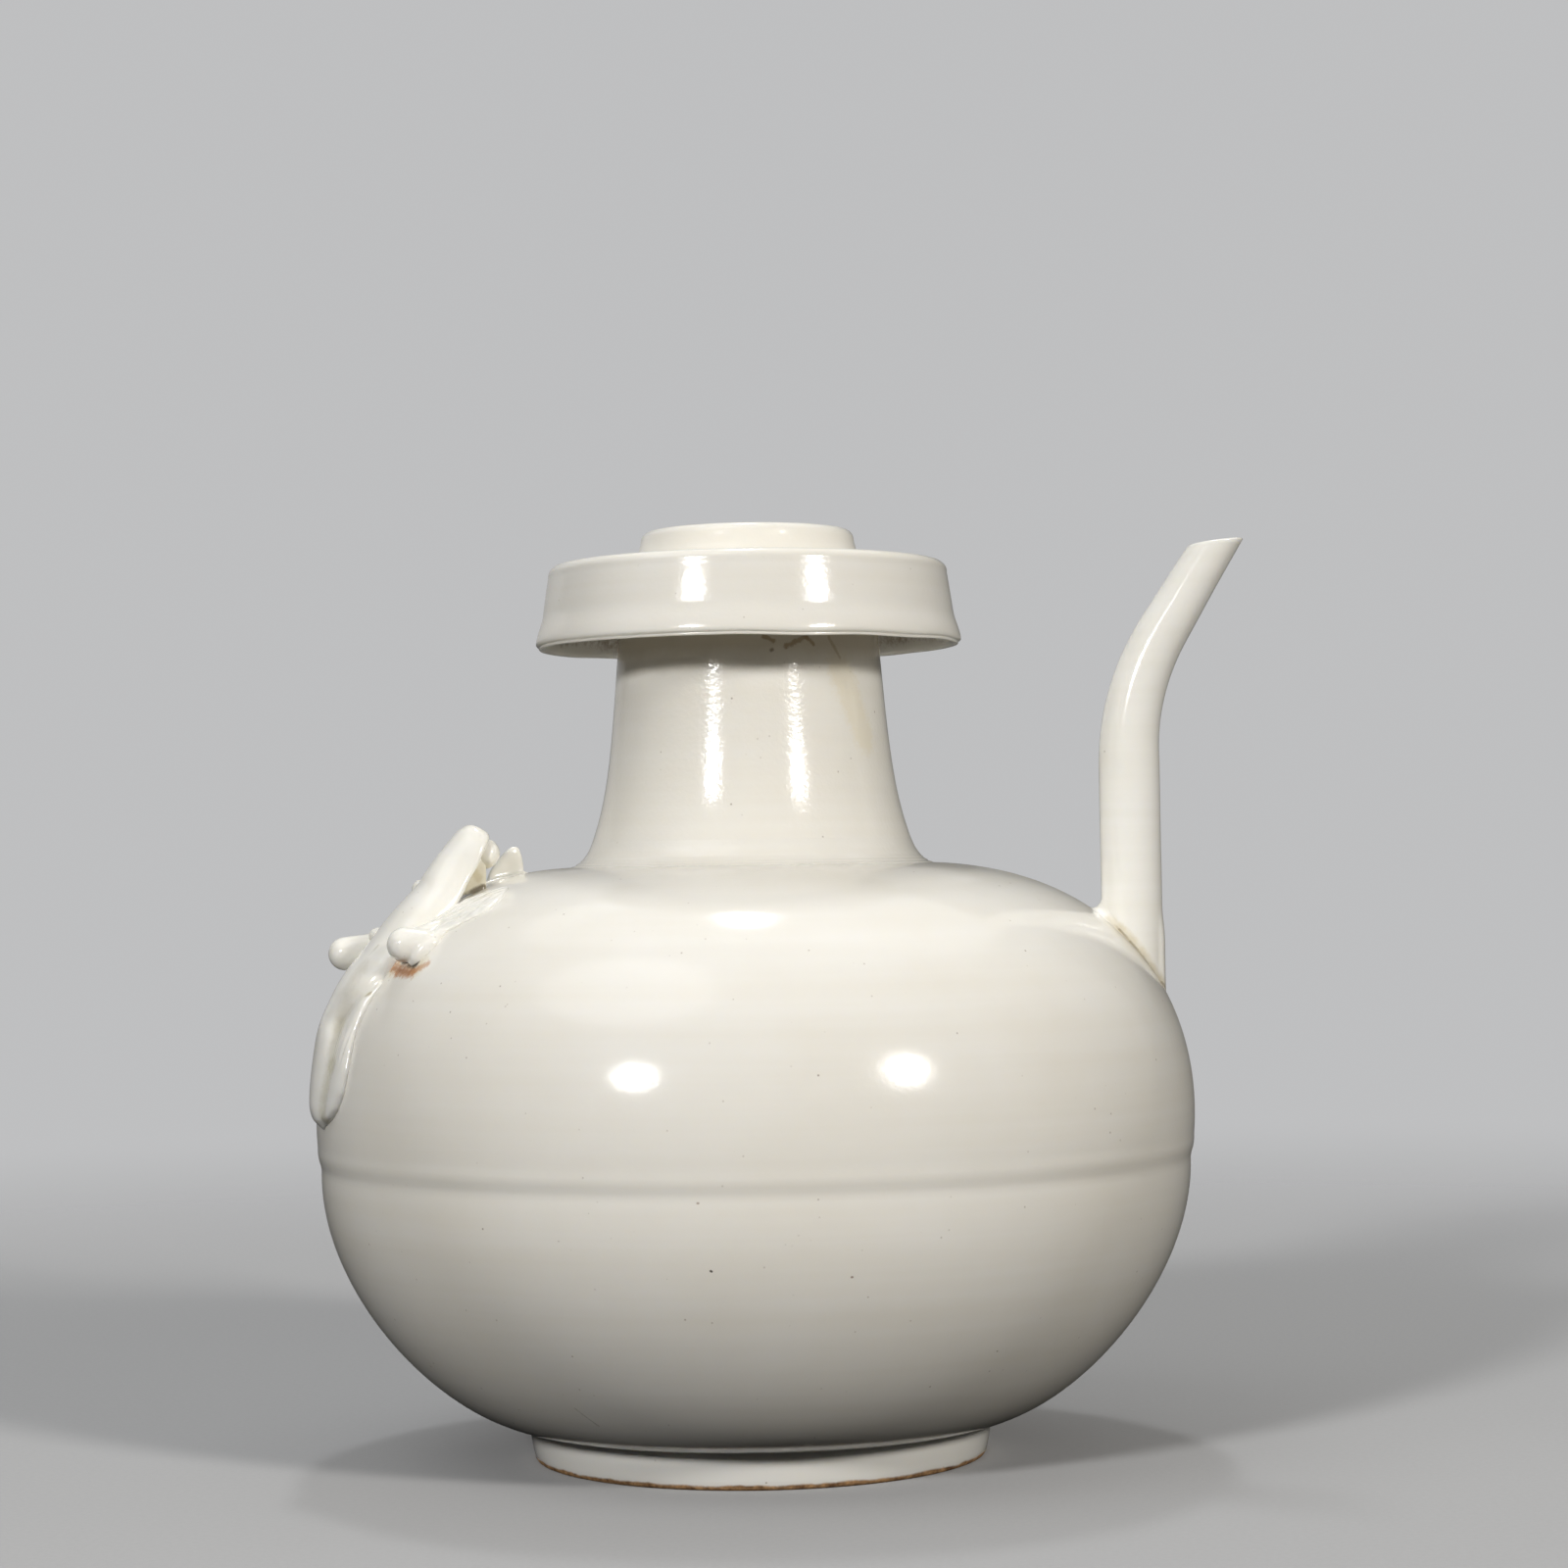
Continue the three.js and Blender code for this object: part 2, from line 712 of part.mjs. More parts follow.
add('foot_ring', footRing(), paleGlaze);
add('body_bowl', bowl(), glaze);
add('body_dome', shell(solid(domeShell()).subtract(spoutBore(spoutTipRadius))), glaze);
add('belly_luting_band', seamBand(), glaze);
add('neck', neckTube(), glaze);
add('neck_base_ring', neckRing(), glaze);
add('mouth_flange', mouthFlange(), paleGlaze);
add('mouth_collar', mouthCollar(), paleGlaze);
add('spout', spoutTube(), ivoryGlaze);
add('spout_root_clay', spoutClay(), ivoryGlaze);
add('loop_strap', loopStrap(), ivoryGlaze);
add('tail_leaf', tailLeaf(), ivoryGlaze);
add('side_leaf_near', sideLeaf(nearLeaf), ivoryGlaze);
add('side_leaf_far', sideLeaf(farLeaf), ivoryGlaze);
add('pellet_low', sidePellet(-1, lowPelletInset, lowPelletLift), ivoryGlaze);
add('pellet_high', sidePellet(-1, highPelletInset, highPelletLift), ivoryGlaze);
add('pellet_fold', sidePellet(1, foldPelletInset, foldPelletLift), ivoryGlaze);

// The frame: the origin is the middle of the outline at the level of the foot
const bounds = new THREE.Box3().setFromObject(clayBody);
const middle = bounds.getCenter(new THREE.Vector3());
clayBody.position.set(-middle.x, -middle.y, 0);

const group = new THREE.Group();
group.add(clayBody);

export default group;
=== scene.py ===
import math

import bmesh
import bpy
from mathutils import Matrix, Vector, noise


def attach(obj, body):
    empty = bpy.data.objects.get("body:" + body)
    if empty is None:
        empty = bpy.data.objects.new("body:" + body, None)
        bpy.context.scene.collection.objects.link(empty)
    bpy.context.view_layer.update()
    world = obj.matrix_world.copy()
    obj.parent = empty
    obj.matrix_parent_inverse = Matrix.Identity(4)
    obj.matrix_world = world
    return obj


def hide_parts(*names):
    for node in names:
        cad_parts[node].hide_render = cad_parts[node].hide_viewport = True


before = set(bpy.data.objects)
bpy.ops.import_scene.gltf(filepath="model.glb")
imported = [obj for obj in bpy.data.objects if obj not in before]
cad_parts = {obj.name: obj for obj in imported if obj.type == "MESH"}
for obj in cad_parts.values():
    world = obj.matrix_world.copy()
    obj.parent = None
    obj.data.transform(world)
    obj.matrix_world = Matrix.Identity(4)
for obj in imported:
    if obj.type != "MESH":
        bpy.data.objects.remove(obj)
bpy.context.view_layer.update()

# The studio: a camera level with the ewer's shoulder, and three oval soft boxes that make its highlights.
# Wide dim cards and ceiling sheets fill the rest. The camera sees a pale sheet that fades into a pale room,
# and reflections and stray light meet a dimmer sheet and room.
AXIS_X = -0.005917
CAMERA_PLACE = (0.06887, -0.71208, 0.11788)
CAMERA_TURN, CAMERA_RISE, CAMERA_ROLL = math.radians(5.453), math.radians(91.416), math.radians(-0.905)
LAMP_AWAY, LAMPS_AIM = 2.0, Vector((AXIS_X, 0.0, 0.1))
CLOTH_SPREAD, CLOTH_SHARE = 1.65, 0.16
ROOM_GREY, ROOM_FILL, ROOM_GLOSS = (0.52, 0.523, 0.53), (1.0, 0.985, 0.955), (0.95, 0.97, 1.0)
SHEET_RADIUS, FADE_FROM, FADE_TO = 1.6, 0.22, 0.95
PAPER_DARK, PAPER_PALE, PAPER_DIM = (0.385, 0.388, 0.395), (0.425, 0.428, 0.435), (0.03, 0.03, 0.03)

camera_data = bpy.data.cameras.new("Camera")
camera_data.sensor_width = 36.0
camera_data.lens = 80.55
camera_data.clip_start = 0.01
camera = bpy.data.objects.new("Camera", camera_data)
camera.matrix_world = (
    Matrix.Translation(CAMERA_PLACE)
    @ Matrix.Rotation(CAMERA_TURN, 4, "Z")
    @ Matrix.Rotation(CAMERA_RISE, 4, "X")
    @ Matrix.Rotation(CAMERA_ROLL, 4, "Z")
)
bpy.context.scene.collection.objects.link(camera)
bpy.context.scene.camera = camera
bpy.context.scene.view_settings.view_transform = "Standard"


def soft_box(name, azimuth, elevation, width, height, watts, colour):
    """An oval lamp that faces the middle of the ewer: a bright middle and a dimmer cloth round it."""
    turn, rise = math.radians(azimuth), math.radians(elevation)
    away = Vector((math.cos(turn) * math.cos(rise), math.sin(turn) * math.cos(rise), math.sin(rise)))
    facing = away.to_track_quat("Z", "Y").to_matrix().to_4x4()
    for part, spread, share in (("middle", 1.0, 1.0 - CLOTH_SHARE), ("cloth", CLOTH_SPREAD, CLOTH_SHARE)):
        data = bpy.data.lights.new(f"{name} {part}", "AREA")
        data.shape = "ELLIPSE"
        data.size, data.size_y = width * spread, height * spread
        data.energy = watts * share
        data.color = colour
        lamp = bpy.data.objects.new(data.name, data)
        lamp.matrix_world = Matrix.Translation(LAMPS_AIM + away * LAMP_AWAY) @ facing
        bpy.context.scene.collection.objects.link(lamp)


soft_box("Left soft box", -115.0, 20.0, 0.27, 0.25, 19.0, (1.0, 0.985, 0.965))
soft_box("Right soft box", -44.5, 20.5, 0.27, 0.28, 19.0, (1.0, 0.965, 0.915))
soft_box("Top soft box", 99.0, 73.0, 0.15, 0.33, 9.0, (0.985, 0.995, 1.0))
soft_box("Ceiling sheet", 90.0, 70.0, 2.60, 1.70, 9.5, (0.97, 0.99, 1.0))
soft_box("Warm card", 12.0, 16.0, 2.60, 2.20, 3.8, (1.0, 0.93, 0.82))
soft_box("Back card", 118.0, 30.0, 2.40, 2.00, 4.5, (1.0, 0.99, 0.97))
soft_box("Ceiling cloth", -135.0, 56.0, 1.50, 1.20, 7.0, (0.985, 0.995, 1.0))


def node(tree, kind, values=None, **settings):
    """Adds a shader node. Values are numbers, colours or the outputs that feed its inputs."""
    made = tree.nodes.new(kind)
    for key, value in settings.items():
        setattr(made, key, value)
    for key, value in (values or {}).items():
        if isinstance(value, bpy.types.NodeSocket):
            tree.links.new(value, made.inputs[key])
        else:
            made.inputs[key].default_value = value
    return made


def ranged(tree, value, low, high, at_low=0.0, at_high=1.0, soft=False):
    """Turns the range from low to high of a value into the range from at_low to at_high."""
    values = {"Value": value, "From Min": low, "From Max": high, "To Min": at_low, "To Max": at_high}
    way = "SMOOTHSTEP" if soft else "LINEAR"
    return node(tree, "ShaderNodeMapRange", values, interpolation_type=way).outputs[0]


def worked_out(tree, operation, *values):
    """Works one number out of others."""
    return node(tree, "ShaderNodeMath", dict(enumerate(values)), operation=operation).outputs[0]


def vectors(tree, operation, values, output=0):
    """Works on places and directions."""
    return node(tree, "ShaderNodeVectorMath", values, operation=operation).outputs[output]


def blended(tree, share, first, second):
    """A colour between two others."""
    first, second = ((*c, 1.0) if isinstance(c, tuple) else c for c in (first, second))
    return node(tree, "ShaderNodeMix", {0: share, 6: first, 7: second}, data_type="RGBA").outputs[2]


def noisy(tree, place, scale, detail, roughness=0.5):
    """A cloudy pattern, from 0 to 1."""
    values = {"Vector": place, "Scale": scale, "Detail": detail, "Roughness": roughness}
    return node(tree, "ShaderNodeTexNoise", values).outputs["Fac"]


def either(tree, share, first, second):
    """One surface or light, or another, or a mix of both."""
    return node(tree, "ShaderNodeMixShader", {0: share, 1: first, 2: second}).outputs[0]


def room(tree, colour, strength):
    """The room's own light in one colour."""
    return node(tree, "ShaderNodeBackground", {"Color": (*colour, 1.0), "Strength": strength}).outputs[0]


world = bpy.data.worlds.new("Studio air")
bpy.context.scene.world = world
world.use_nodes = True
world.node_tree.nodes.clear()
air = world.node_tree
way_out = node(air, "ShaderNodeTexCoord").outputs["Generated"]
way_up = node(air, "ShaderNodeSeparateXYZ", {"Vector": way_out}).outputs["Z"]
over_table = ranged(air, way_up, -0.10, 0.0, 0.2, 1.0)
wall_light = ranged(air, way_up, 0.05, 0.45, 0.08, 0.06, soft=True)
fill = room(air, ROOM_FILL, worked_out(air, "MULTIPLY", wall_light, over_table))
sight = node(air, "ShaderNodeLightPath").outputs
unseen = either(air, sight["Is Glossy Ray"], fill, room(air, ROOM_GLOSS, 0.06))
air_mix = either(air, sight["Is Camera Ray"], unseen, room(air, ROOM_GREY, 1.0))
node(air, "ShaderNodeOutputWorld", {"Surface": air_mix})

sheet = bmesh.new()
bmesh.ops.create_circle(sheet, cap_ends=True, segments=96, radius=SHEET_RADIUS)
sheet_mesh = bpy.data.meshes.new("Pale sheet")
sheet.to_mesh(sheet_mesh)
sheet.free()
floor = bpy.data.objects.new("Pale sheet", sheet_mesh)
bpy.context.scene.collection.objects.link(floor)
paper = bpy.data.materials.new("Pale paper")
paper.use_nodes = True
paper.node_tree.nodes.clear()
tree = paper.node_tree
spot = node(tree, "ShaderNodeTexCoord").outputs["Object"]
fade = ranged(tree, vectors(tree, "LENGTH", {0: spot}, "Value"), FADE_FROM, FADE_TO, soft=True)
tint = blended(tree, noisy(tree, spot, 900.0, 3.0), PAPER_DARK, PAPER_PALE)
seen = node(tree, "ShaderNodeLightPath").outputs["Is Camera Ray"]
shown = blended(tree, seen, PAPER_DIM, tint)
dull = node(tree, "ShaderNodeBsdfDiffuse", {"Color": shown, "Roughness": 0.5}).outputs[0]
clear = node(tree, "ShaderNodeBsdfTransparent").outputs[0]
node(tree, "ShaderNodeOutputMaterial", {"Surface": either(tree, fade, dull, clear)})
floor.data.materials.append(paper)


# The body: two thrown halves luted rim to rim, which leaves the soft ridge round the belly.
# White porcelain under one continuous coat of warm white glaze, fired in one piece with its floor.
BOWL = ((0.0470, 0.0075), (0.0624, 0.0075), (0.09035, 0.0352), (0.08762, 0.06233))
DOME = ((0.08837, 0.06233), (0.09157, 0.08986), (0.07575, 0.11773), (0.0362, 0.1192))
BODY_WALL, FLOOR_TOP = 0.004, 0.0127
RIDGE_HEIGHT, RIDGE_STAND = 0.0626, 0.00012
RIDGE_BELOW, RIDGE_ABOVE = 0.0032, 0.0017
UNDERSIDE = [(0.0, 0.0079), (0.012, 0.0078), (0.026, 0.0077), (0.038, 0.0076), (0.044, 0.0075)]
WARM_WHITE, CREAM = (0.880, 0.862, 0.808), (0.838, 0.808, 0.730)
IRON_BROWN, SPECK_BROWN = (0.22, 0.11, 0.05), (0.20, 0.13, 0.08)
RUST, DEEP_RUST, HONEY = (0.52, 0.22, 0.07), (0.38, 0.15, 0.04), (0.74, 0.64, 0.44)
# One near black serves soot specks and painted shade in hollows.
SOOT_AND_SHADE, SCRATCH_GREY = (0.035, 0.025, 0.015), (0.45, 0.42, 0.36)


def bent_line(p0, p1, p2, p3, steps):
    """Points along a smooth curve with two handles, both ends included."""
    line = []
    for i in range(steps + 1):
        t = i / steps
        weights = ((1 - t) ** 3, 3 * t * (1 - t) ** 2, 3 * t * t * (1 - t), t**3)
        line.append(tuple(sum(w * p[k] for w, p in zip(weights, (p0, p1, p2, p3))) for k in (0, 1)))
    return line


def soft_step(value, low, high):
    """0 below low, 1 above high, and an S between them."""
    t = min(max((value - low) / (high - low), 0.0), 1.0)
    return t * t * (3 - 2 * t)


def moved_in(line, depth):
    """The same line moved square to itself, to the inner side of a wall."""
    inner = []
    for i, (r, z) in enumerate(line):
        before, after = line[max(i - 1, 0)], line[min(i + 1, len(line) - 1)]
        along = Vector((after[0] - before[0], after[1] - before[1])).normalized()
        inner.append((r - along.y * depth, z + along.x * depth))
    return inner


def ring_point(radius, azimuth, height):
    """A point by its distance from the vessel's axis, its direction in degrees, and its height."""
    turn = math.radians(azimuth)
    return Vector((AXIS_X + radius * math.cos(turn), radius * math.sin(turn), height))


def thrown(outline, steps, closed=False, wander=0.0, lines=0.0, skip=0):
    """Spins an outline round the axis. The maker's hand leaves slight waves and fine throwing lines."""
    bm = bmesh.new()
    dots = [bm.verts.new((AXIS_X + r, 0.0, z)) for r, z in outline]
    edges = [bm.edges.new(pair) for pair in zip(dots, dots[1:])]
    if closed:
        edges.append(bm.edges.new((dots[-1], dots[0])))
    bmesh.ops.spin(
        bm,
        geom=dots + edges,
        cent=(AXIS_X, 0.0, 0.0),
        axis=(0.0, 0.0, 1.0),
        angle=math.tau,
        steps=steps,
        use_merge=True,
    )
    bmesh.ops.remove_doubles(bm, verts=bm.verts, dist=1e-6)
    bmesh.ops.dissolve_degenerate(bm, edges=bm.edges, dist=1e-7)
    bmesh.ops.recalc_face_normals(bm, faces=bm.faces)
    for vert in bm.verts:
        out = Vector((vert.co.x - AXIS_X, vert.co.y, 0.0))
        if out.length < 0.002:
            continue
        side = out.normalized()
        wave = noise.noise(Vector((side.x * 1.3, side.y * 1.3, vert.co.z * 22.0 + skip)))
        mark = noise.noise(Vector((side.x * 0.7, side.y * 0.7, vert.co.z * 420.0 + skip)))
        vert.co += side * (wave * wander + mark * lines)
    return bm


def glazed_piece(name, bm, material, nodes):
    """Turns the shape into a smooth glazed object that stands for the nodes of the CAD model."""
    bm.normal_update()
    for face in bm.faces:
        face.smooth = True
    mesh = bpy.data.meshes.new(name)
    bm.to_mesh(mesh)
    bm.free()
    mesh.materials.append(material)
    piece = bpy.data.objects.new(name, mesh)
    bpy.context.scene.collection.objects.link(piece)
    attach(piece, "root")
    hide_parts(*nodes)
    return piece


def glaze(name, pale, deep, marks=(), ripple=0.12):
    """Glossy glaze: clouded colour, faint turning bands, rare iron specks, a rippled skin, and marks of stain
    and painted shade.
    Each mark runs from a start to an end: (start, end, reach, colour, strength, how broken its edge is)."""
    material = bpy.data.materials.new(name)
    material.use_nodes = True
    material.node_tree.nodes.clear()
    tree = material.node_tree
    spot = node(tree, "ShaderNodeTexCoord").outputs["Object"]
    cloud = noisy(tree, spot, 26.0, 5.0, 0.55)
    squashed = node(tree, "ShaderNodeMapping", {"Vector": spot, "Scale": (6.0, 6.0, 330.0)}).outputs[0]
    bands = worked_out(tree, "MULTIPLY", noisy(tree, squashed, 1.0, 4.0), 0.35)
    depth = ranged(tree, worked_out(tree, "MULTIPLY_ADD", cloud, 0.65, bands), 0.36, 0.66)
    colour = blended(tree, depth, pale, deep)
    cells = node(tree, "ShaderNodeTexVoronoi", {"Vector": spot, "Scale": 330.0, "Randomness": 1.0}).outputs
    chance = ranged(tree, cells["Color"], 0.52, 0.85)
    dot = ranged(tree, cells["Distance"], 0.02, 0.09, 0.75, 0.0)
    colour = blended(tree, worked_out(tree, "MULTIPLY", chance, dot), colour, SPECK_BROWN)
    breakup = noisy(tree, spot, 900.0, 8.0, 0.75)
    for start, end, size, stain, strength, broken in marks:
        way = Vector(end) - Vector(start)
        place = vectors(tree, "SUBTRACT", {0: spot, 1: tuple(start)})
        along = vectors(tree, "DOT_PRODUCT", {0: place, 1: tuple(way)}, "Value")
        share = ranged(tree, along, 0.0, max(way.dot(way), 1e-12))
        near = vectors(tree, "SCALE", {0: tuple(way), "Scale": share})
        away = vectors(tree, "DISTANCE", {0: place, 1: near}, "Value")
        ragged = worked_out(tree, "MULTIPLY_ADD", breakup, size * broken, away)
        full, none = size * (0.35 + 0.5 * broken), size * (1.0 + 0.5 * broken)
        colour = blended(tree, ranged(tree, ragged, full, none, strength, 0.0, soft=True), colour, stain)
    skin = noisy(tree, spot, 1050.0, 2.5)
    bump = node(tree, "ShaderNodeBump", {"Height": skin, "Strength": ripple, "Distance": 0.0001})
    coat = node(
        tree,
        "ShaderNodeBsdfPrincipled",
        {
            "Base Color": colour,
            "Roughness": ranged(tree, cloud, 0.3, 0.7, 0.10, 0.16),
            "IOR": 1.5,
            "Normal": bump.outputs[0],
            "Subsurface Weight": 0.12,
            "Subsurface Radius": (0.8, 0.7, 0.5),
            "Subsurface Scale": 0.002,
        },
    )
    node(tree, "ShaderNodeOutputMaterial", {"Surface": coat.outputs[0]})
    return material


def marks_round(*rows):
    """Marks whose ends are given by distance from the axis, direction and height."""
    return [(ring_point(*start), ring_point(*end), *look) for start, end, *look in rows]


STEP_OUT = DOME[0][0] - BOWL[3][0]
outer = []
for line, already_out in ((bent_line(*BOWL, 84), 0.0), (bent_line(*DOME, 104)[1:], STEP_OUT)):
    for r, z in line:
        if z < RIDGE_HEIGHT:
            grown = (RIDGE_STAND + STEP_OUT) * soft_step(z, RIDGE_HEIGHT - RIDGE_BELOW, RIDGE_HEIGHT)
            outer.append((r + grown - already_out, z))
        else:
            sunk = soft_step(z, RIDGE_HEIGHT, RIDGE_HEIGHT + RIDGE_ABOVE)
            outer.append((r + RIDGE_STAND * (1 - sunk), z))
inner = moved_in(bent_line(*DOME, 36)[::-1] + bent_line(*BOWL, 34)[::-1][1:], -BODY_WALL)
inner = [(r, z) for r, z in inner if z > FLOOR_TOP + 0.0005]
floor_line = [(r, FLOOR_TOP) for r in (0.044, 0.034, 0.022, 0.010, 0.0)]
body = thrown(UNDERSIDE + outer + inner + floor_line, 192, wander=0.00024, lines=0.000012)
body_marks = marks_round(
    ((0.0784, 214.0, 0.1005), (0.0782, 221.0, 0.1005), 0.0034, HONEY, 0.6, 1.2),
    ((0.0780, 212.2, 0.1008), (0.0788, 216.2, 0.0997), 0.0018, RUST, 0.65, 2.2),
    ((0.0788, 216.2, 0.0996), (0.0792, 220.6, 0.0995), 0.0019, RUST, 0.7, 2.2),
    ((0.0792, 220.6, 0.0997), (0.0778, 223.0, 0.1010), 0.0013, RUST, 0.6, 2.2),
    ((0.0786, 213.6, 0.1001), (0.0791, 219.6, 0.0994), 0.0008, DEEP_RUST, 0.7, 2.6),
    # Painted shade: a near-black spot for the hollow under the knob.
    ((0.0776, 218.4, 0.1014), (0.0777, 219.8, 0.1011), 0.0016, SOOT_AND_SHADE, 0.95, 0.8),
    # Painted shade: a dark spot on the shoulder under the slot of the fold.
    ((0.0614, 208.0, 0.1136), (0.0570, 206.0, 0.1154), 0.0010, SOOT_AND_SHADE, 0.75, 1.0),
    ((0.0860, 270.3, 0.0464), (0.0860, 270.4, 0.0463), 0.00032, SOOT_AND_SHADE, 0.9, 0.4),
    ((0.0854, 287.3, 0.0447), (0.0854, 287.4, 0.0447), 0.0003, IRON_BROWN, 0.7, 0.4),
    ((0.0878, 269.0, 0.0587), (0.0878, 269.1, 0.0587), 0.0003, IRON_BROWN, 0.6, 0.4),
    ((0.0679, 245.4, 0.0183), (0.0634, 247.4, 0.0145), 0.0003, SCRATCH_GREY, 0.5, 1.5),
)
body_glaze = glaze("Body glaze", WARM_WHITE, CREAM, body_marks)
glazed_piece("body", body, body_glaze, ("body_bowl", "body_dome", "belly_luting_band"))


# The foot: a ring of clay turned under the bowl, glazed on its wall, with a small ridge at its top.
# Its lower edge was wiped bare before firing and toasted brown in the kiln.
FOOT_HEIGHT = 0.0075
BARE_WANDER, BARE_FROM, BARE_TO = 0.0014, 0.0001, 0.0005
PALE_IVORY, IVORY = (0.925, 0.915, 0.872), (0.885, 0.868, 0.800)
BURNT_BROWN, TOAST_BROWN = (0.15, 0.075, 0.03), (0.58, 0.34, 0.16)
FOOT_OUTLINE = [
    (0.0412, FOOT_HEIGHT),
    (0.0414, 0.0050),
    (0.0415, 0.0020),
    (0.0418, 0.0006),
    (0.0423, 0.0),
    (0.0438, 0.0),
    (0.0450, 0.0),
    (0.0454, 0.00012),
    (0.0457, 0.0006),
    (0.0460, 0.0020),
    (0.0464, 0.0040),
    (0.0466, 0.0054),
    (0.0466, 0.0060),
    (0.04665, 0.0063),
    (0.0468, 0.0066),
    (0.0469, 0.0070),
    (0.0471, FOOT_HEIGHT),
]


def glaze_parts(material):
    """What a piece adds to in its glaze: the nodes, the coat, its colour so far, the place and the height."""
    tree = material.node_tree
    coat = next(n for n in tree.nodes if n.type == "BSDF_PRINCIPLED").inputs
    spot = node(tree, "ShaderNodeTexCoord").outputs["Object"]
    height = node(tree, "ShaderNodeSeparateXYZ", {0: spot}).outputs["Z"]
    return tree, coat, coat["Base Color"].links[0].from_socket, spot, height


foot = thrown(FOOT_OUTLINE, 192, wander=0.00012, lines=0.00002, skip=4)
foot_glaze = glaze("Foot glaze", PALE_IVORY, IVORY)
tree, coat, colour, spot, height = glaze_parts(foot_glaze)
edge = worked_out(tree, "MULTIPLY_ADD", noisy(tree, spot, 130.0, 6.0, 0.65), -BARE_WANDER, height)
bare = ranged(tree, edge, BARE_FROM, BARE_TO, 1.0, 0.0)
grit = ranged(tree, noisy(tree, spot, 420.0, 8.0, 0.75), 0.38, 0.62)
bare_colour = blended(tree, bare, colour, blended(tree, grit, BURNT_BROWN, TOAST_BROWN))
tree.links.new(bare_colour, coat["Base Color"])
tree.links.new(ranged(tree, bare, 0.0, 1.0, 0.11, 0.75), coat["Roughness"])
glazed_piece("foot", foot, foot_glaze, ("foot_ring",))


# The neck: a thrown tube that flares down to the shoulder, with a small bead of slip round its foot.
# It was thrown apart, trimmed to the shoulder's curve and luted there before glazing.
NECK = ((0.03452, 0.1192), (0.0285, 0.1328), (0.0283, 0.1425), (0.0255, 0.1774))
NECK_WALL = 0.0032
# Painted shade and dirt under the flange: where it starts on the neck, where it is full, and its brown.
SHADE_GRIME_FROM, SHADE_GRIME_FULL = 0.1585, 0.1640
SHADE_GRIME, DULL_BROWN = (0.42, 0.35, 0.24), (0.30, 0.22, 0.12)
YELLOWED, SCRATCH_BROWN = (0.80, 0.71, 0.50), (0.45, 0.38, 0.26)
neck_outer = bent_line(*NECK, 90)
neck_inner = moved_in(bent_line(*NECK, 40), NECK_WALL)[::-1]
neck = thrown(neck_outer + neck_inner, 160, closed=True, wander=0.00014, lines=0.000008, skip=9)
neck_marks = marks_round(
    ((0.0265, -77.5, 0.1641), (0.0265, -73.5, 0.1632), 0.0006, IRON_BROWN, 0.8, 2.6),
    ((0.0265, -74.4, 0.1613), (0.0265, -74.0, 0.1614), 0.0006, SOOT_AND_SHADE, 0.8, 0.8),
    ((0.0265, -68.0, 0.1622), (0.0265, -58.5, 0.1640), 0.0007, IRON_BROWN, 0.8, 2.6),
    ((0.0265, -58.5, 0.1640), (0.0265, -55.0, 0.1626), 0.0006, IRON_BROWN, 0.8, 2.6),
    ((0.0265, -47.0, 0.1640), (0.0266, -41.5, 0.1600), 0.0005, DULL_BROWN, 0.6, 2.2),
    ((0.0266, -36.0, 0.1573), (0.0266, -35.4, 0.1573), 0.0005, SOOT_AND_SHADE, 0.6, 0.8),
    ((0.0268, -42.0, 0.1580), (0.0278, -30.0, 0.1440), 0.0046, YELLOWED, 0.4, 1.5),
    ((0.0286, -83.2, 0.1340), (0.0286, -81.6, 0.1338), 0.0004, IRON_BROWN, 0.7, 1.2),
    ((0.0287, -96.0, 0.1327), (0.0288, -89.0, 0.1312), 0.00022, SCRATCH_BROWN, 0.6, 1.6),
)
neck_glaze = glaze("Neck glaze", WARM_WHITE, CREAM, neck_marks, ripple=0.42)
tree, coat, colour, spot, height = glaze_parts(neck_glaze)
# Painted shade and dirt: the neck turns brown towards its top, under the flange, with a cloudy edge.
reached = worked_out(tree, "MULTIPLY_ADD", noisy(tree, spot, 160.0, 4.0), 0.003, height)
shade_and_grime = ranged(tree, reached, SHADE_GRIME_FROM, SHADE_GRIME_FULL, 0.0, 0.62)
tree.links.new(blended(tree, shade_and_grime, colour, SHADE_GRIME), coat["Base Color"])
glazed_piece("neck_tube", neck, neck_glaze, ("neck",))

BEAD_OUTLINE = [
    (0.0332, 0.1187),
    (0.0370, 0.1187),
    (0.0369, 0.1191),
    (0.03675, 0.1193),
    (0.0363, 0.11942),
    (0.0359, 0.11955),
    (0.03575, 0.11978),
    (0.0354, 0.11995),
    (0.0350, 0.1202),
    (0.03485, 0.12045),
    (0.0346, 0.1206),
    (0.0342, 0.1211),
    (0.03372, 0.12175),
    (0.0333, 0.1224),
    (0.03292, 0.1232),
    (0.0326, 0.1240),
    (0.0322, 0.1248),
    (0.0317, 0.1248),
]
bead = thrown(BEAD_OUTLINE, 160, closed=True, wander=0.00014, lines=0.000008, skip=9)
glazed_piece("neck_bead", bead, neck_glaze, ("neck_base_ring",))


# The mouth: a wide thrown flange with a hanging skirt and a rounded rim band, and a low collar on top.
# Both were turned on the wheel and luted to the neck; nothing here opens.
def rounded_corner(centre, radius, start, end, steps):
    """Points round a corner, by angles in degrees from the outward direction."""
    line = []
    for i in range(steps + 1):
        turn = math.radians(start + (end - start) * i / steps)
        line.append((centre[0] + radius * math.cos(turn), centre[1] + radius * math.sin(turn)))
    return line


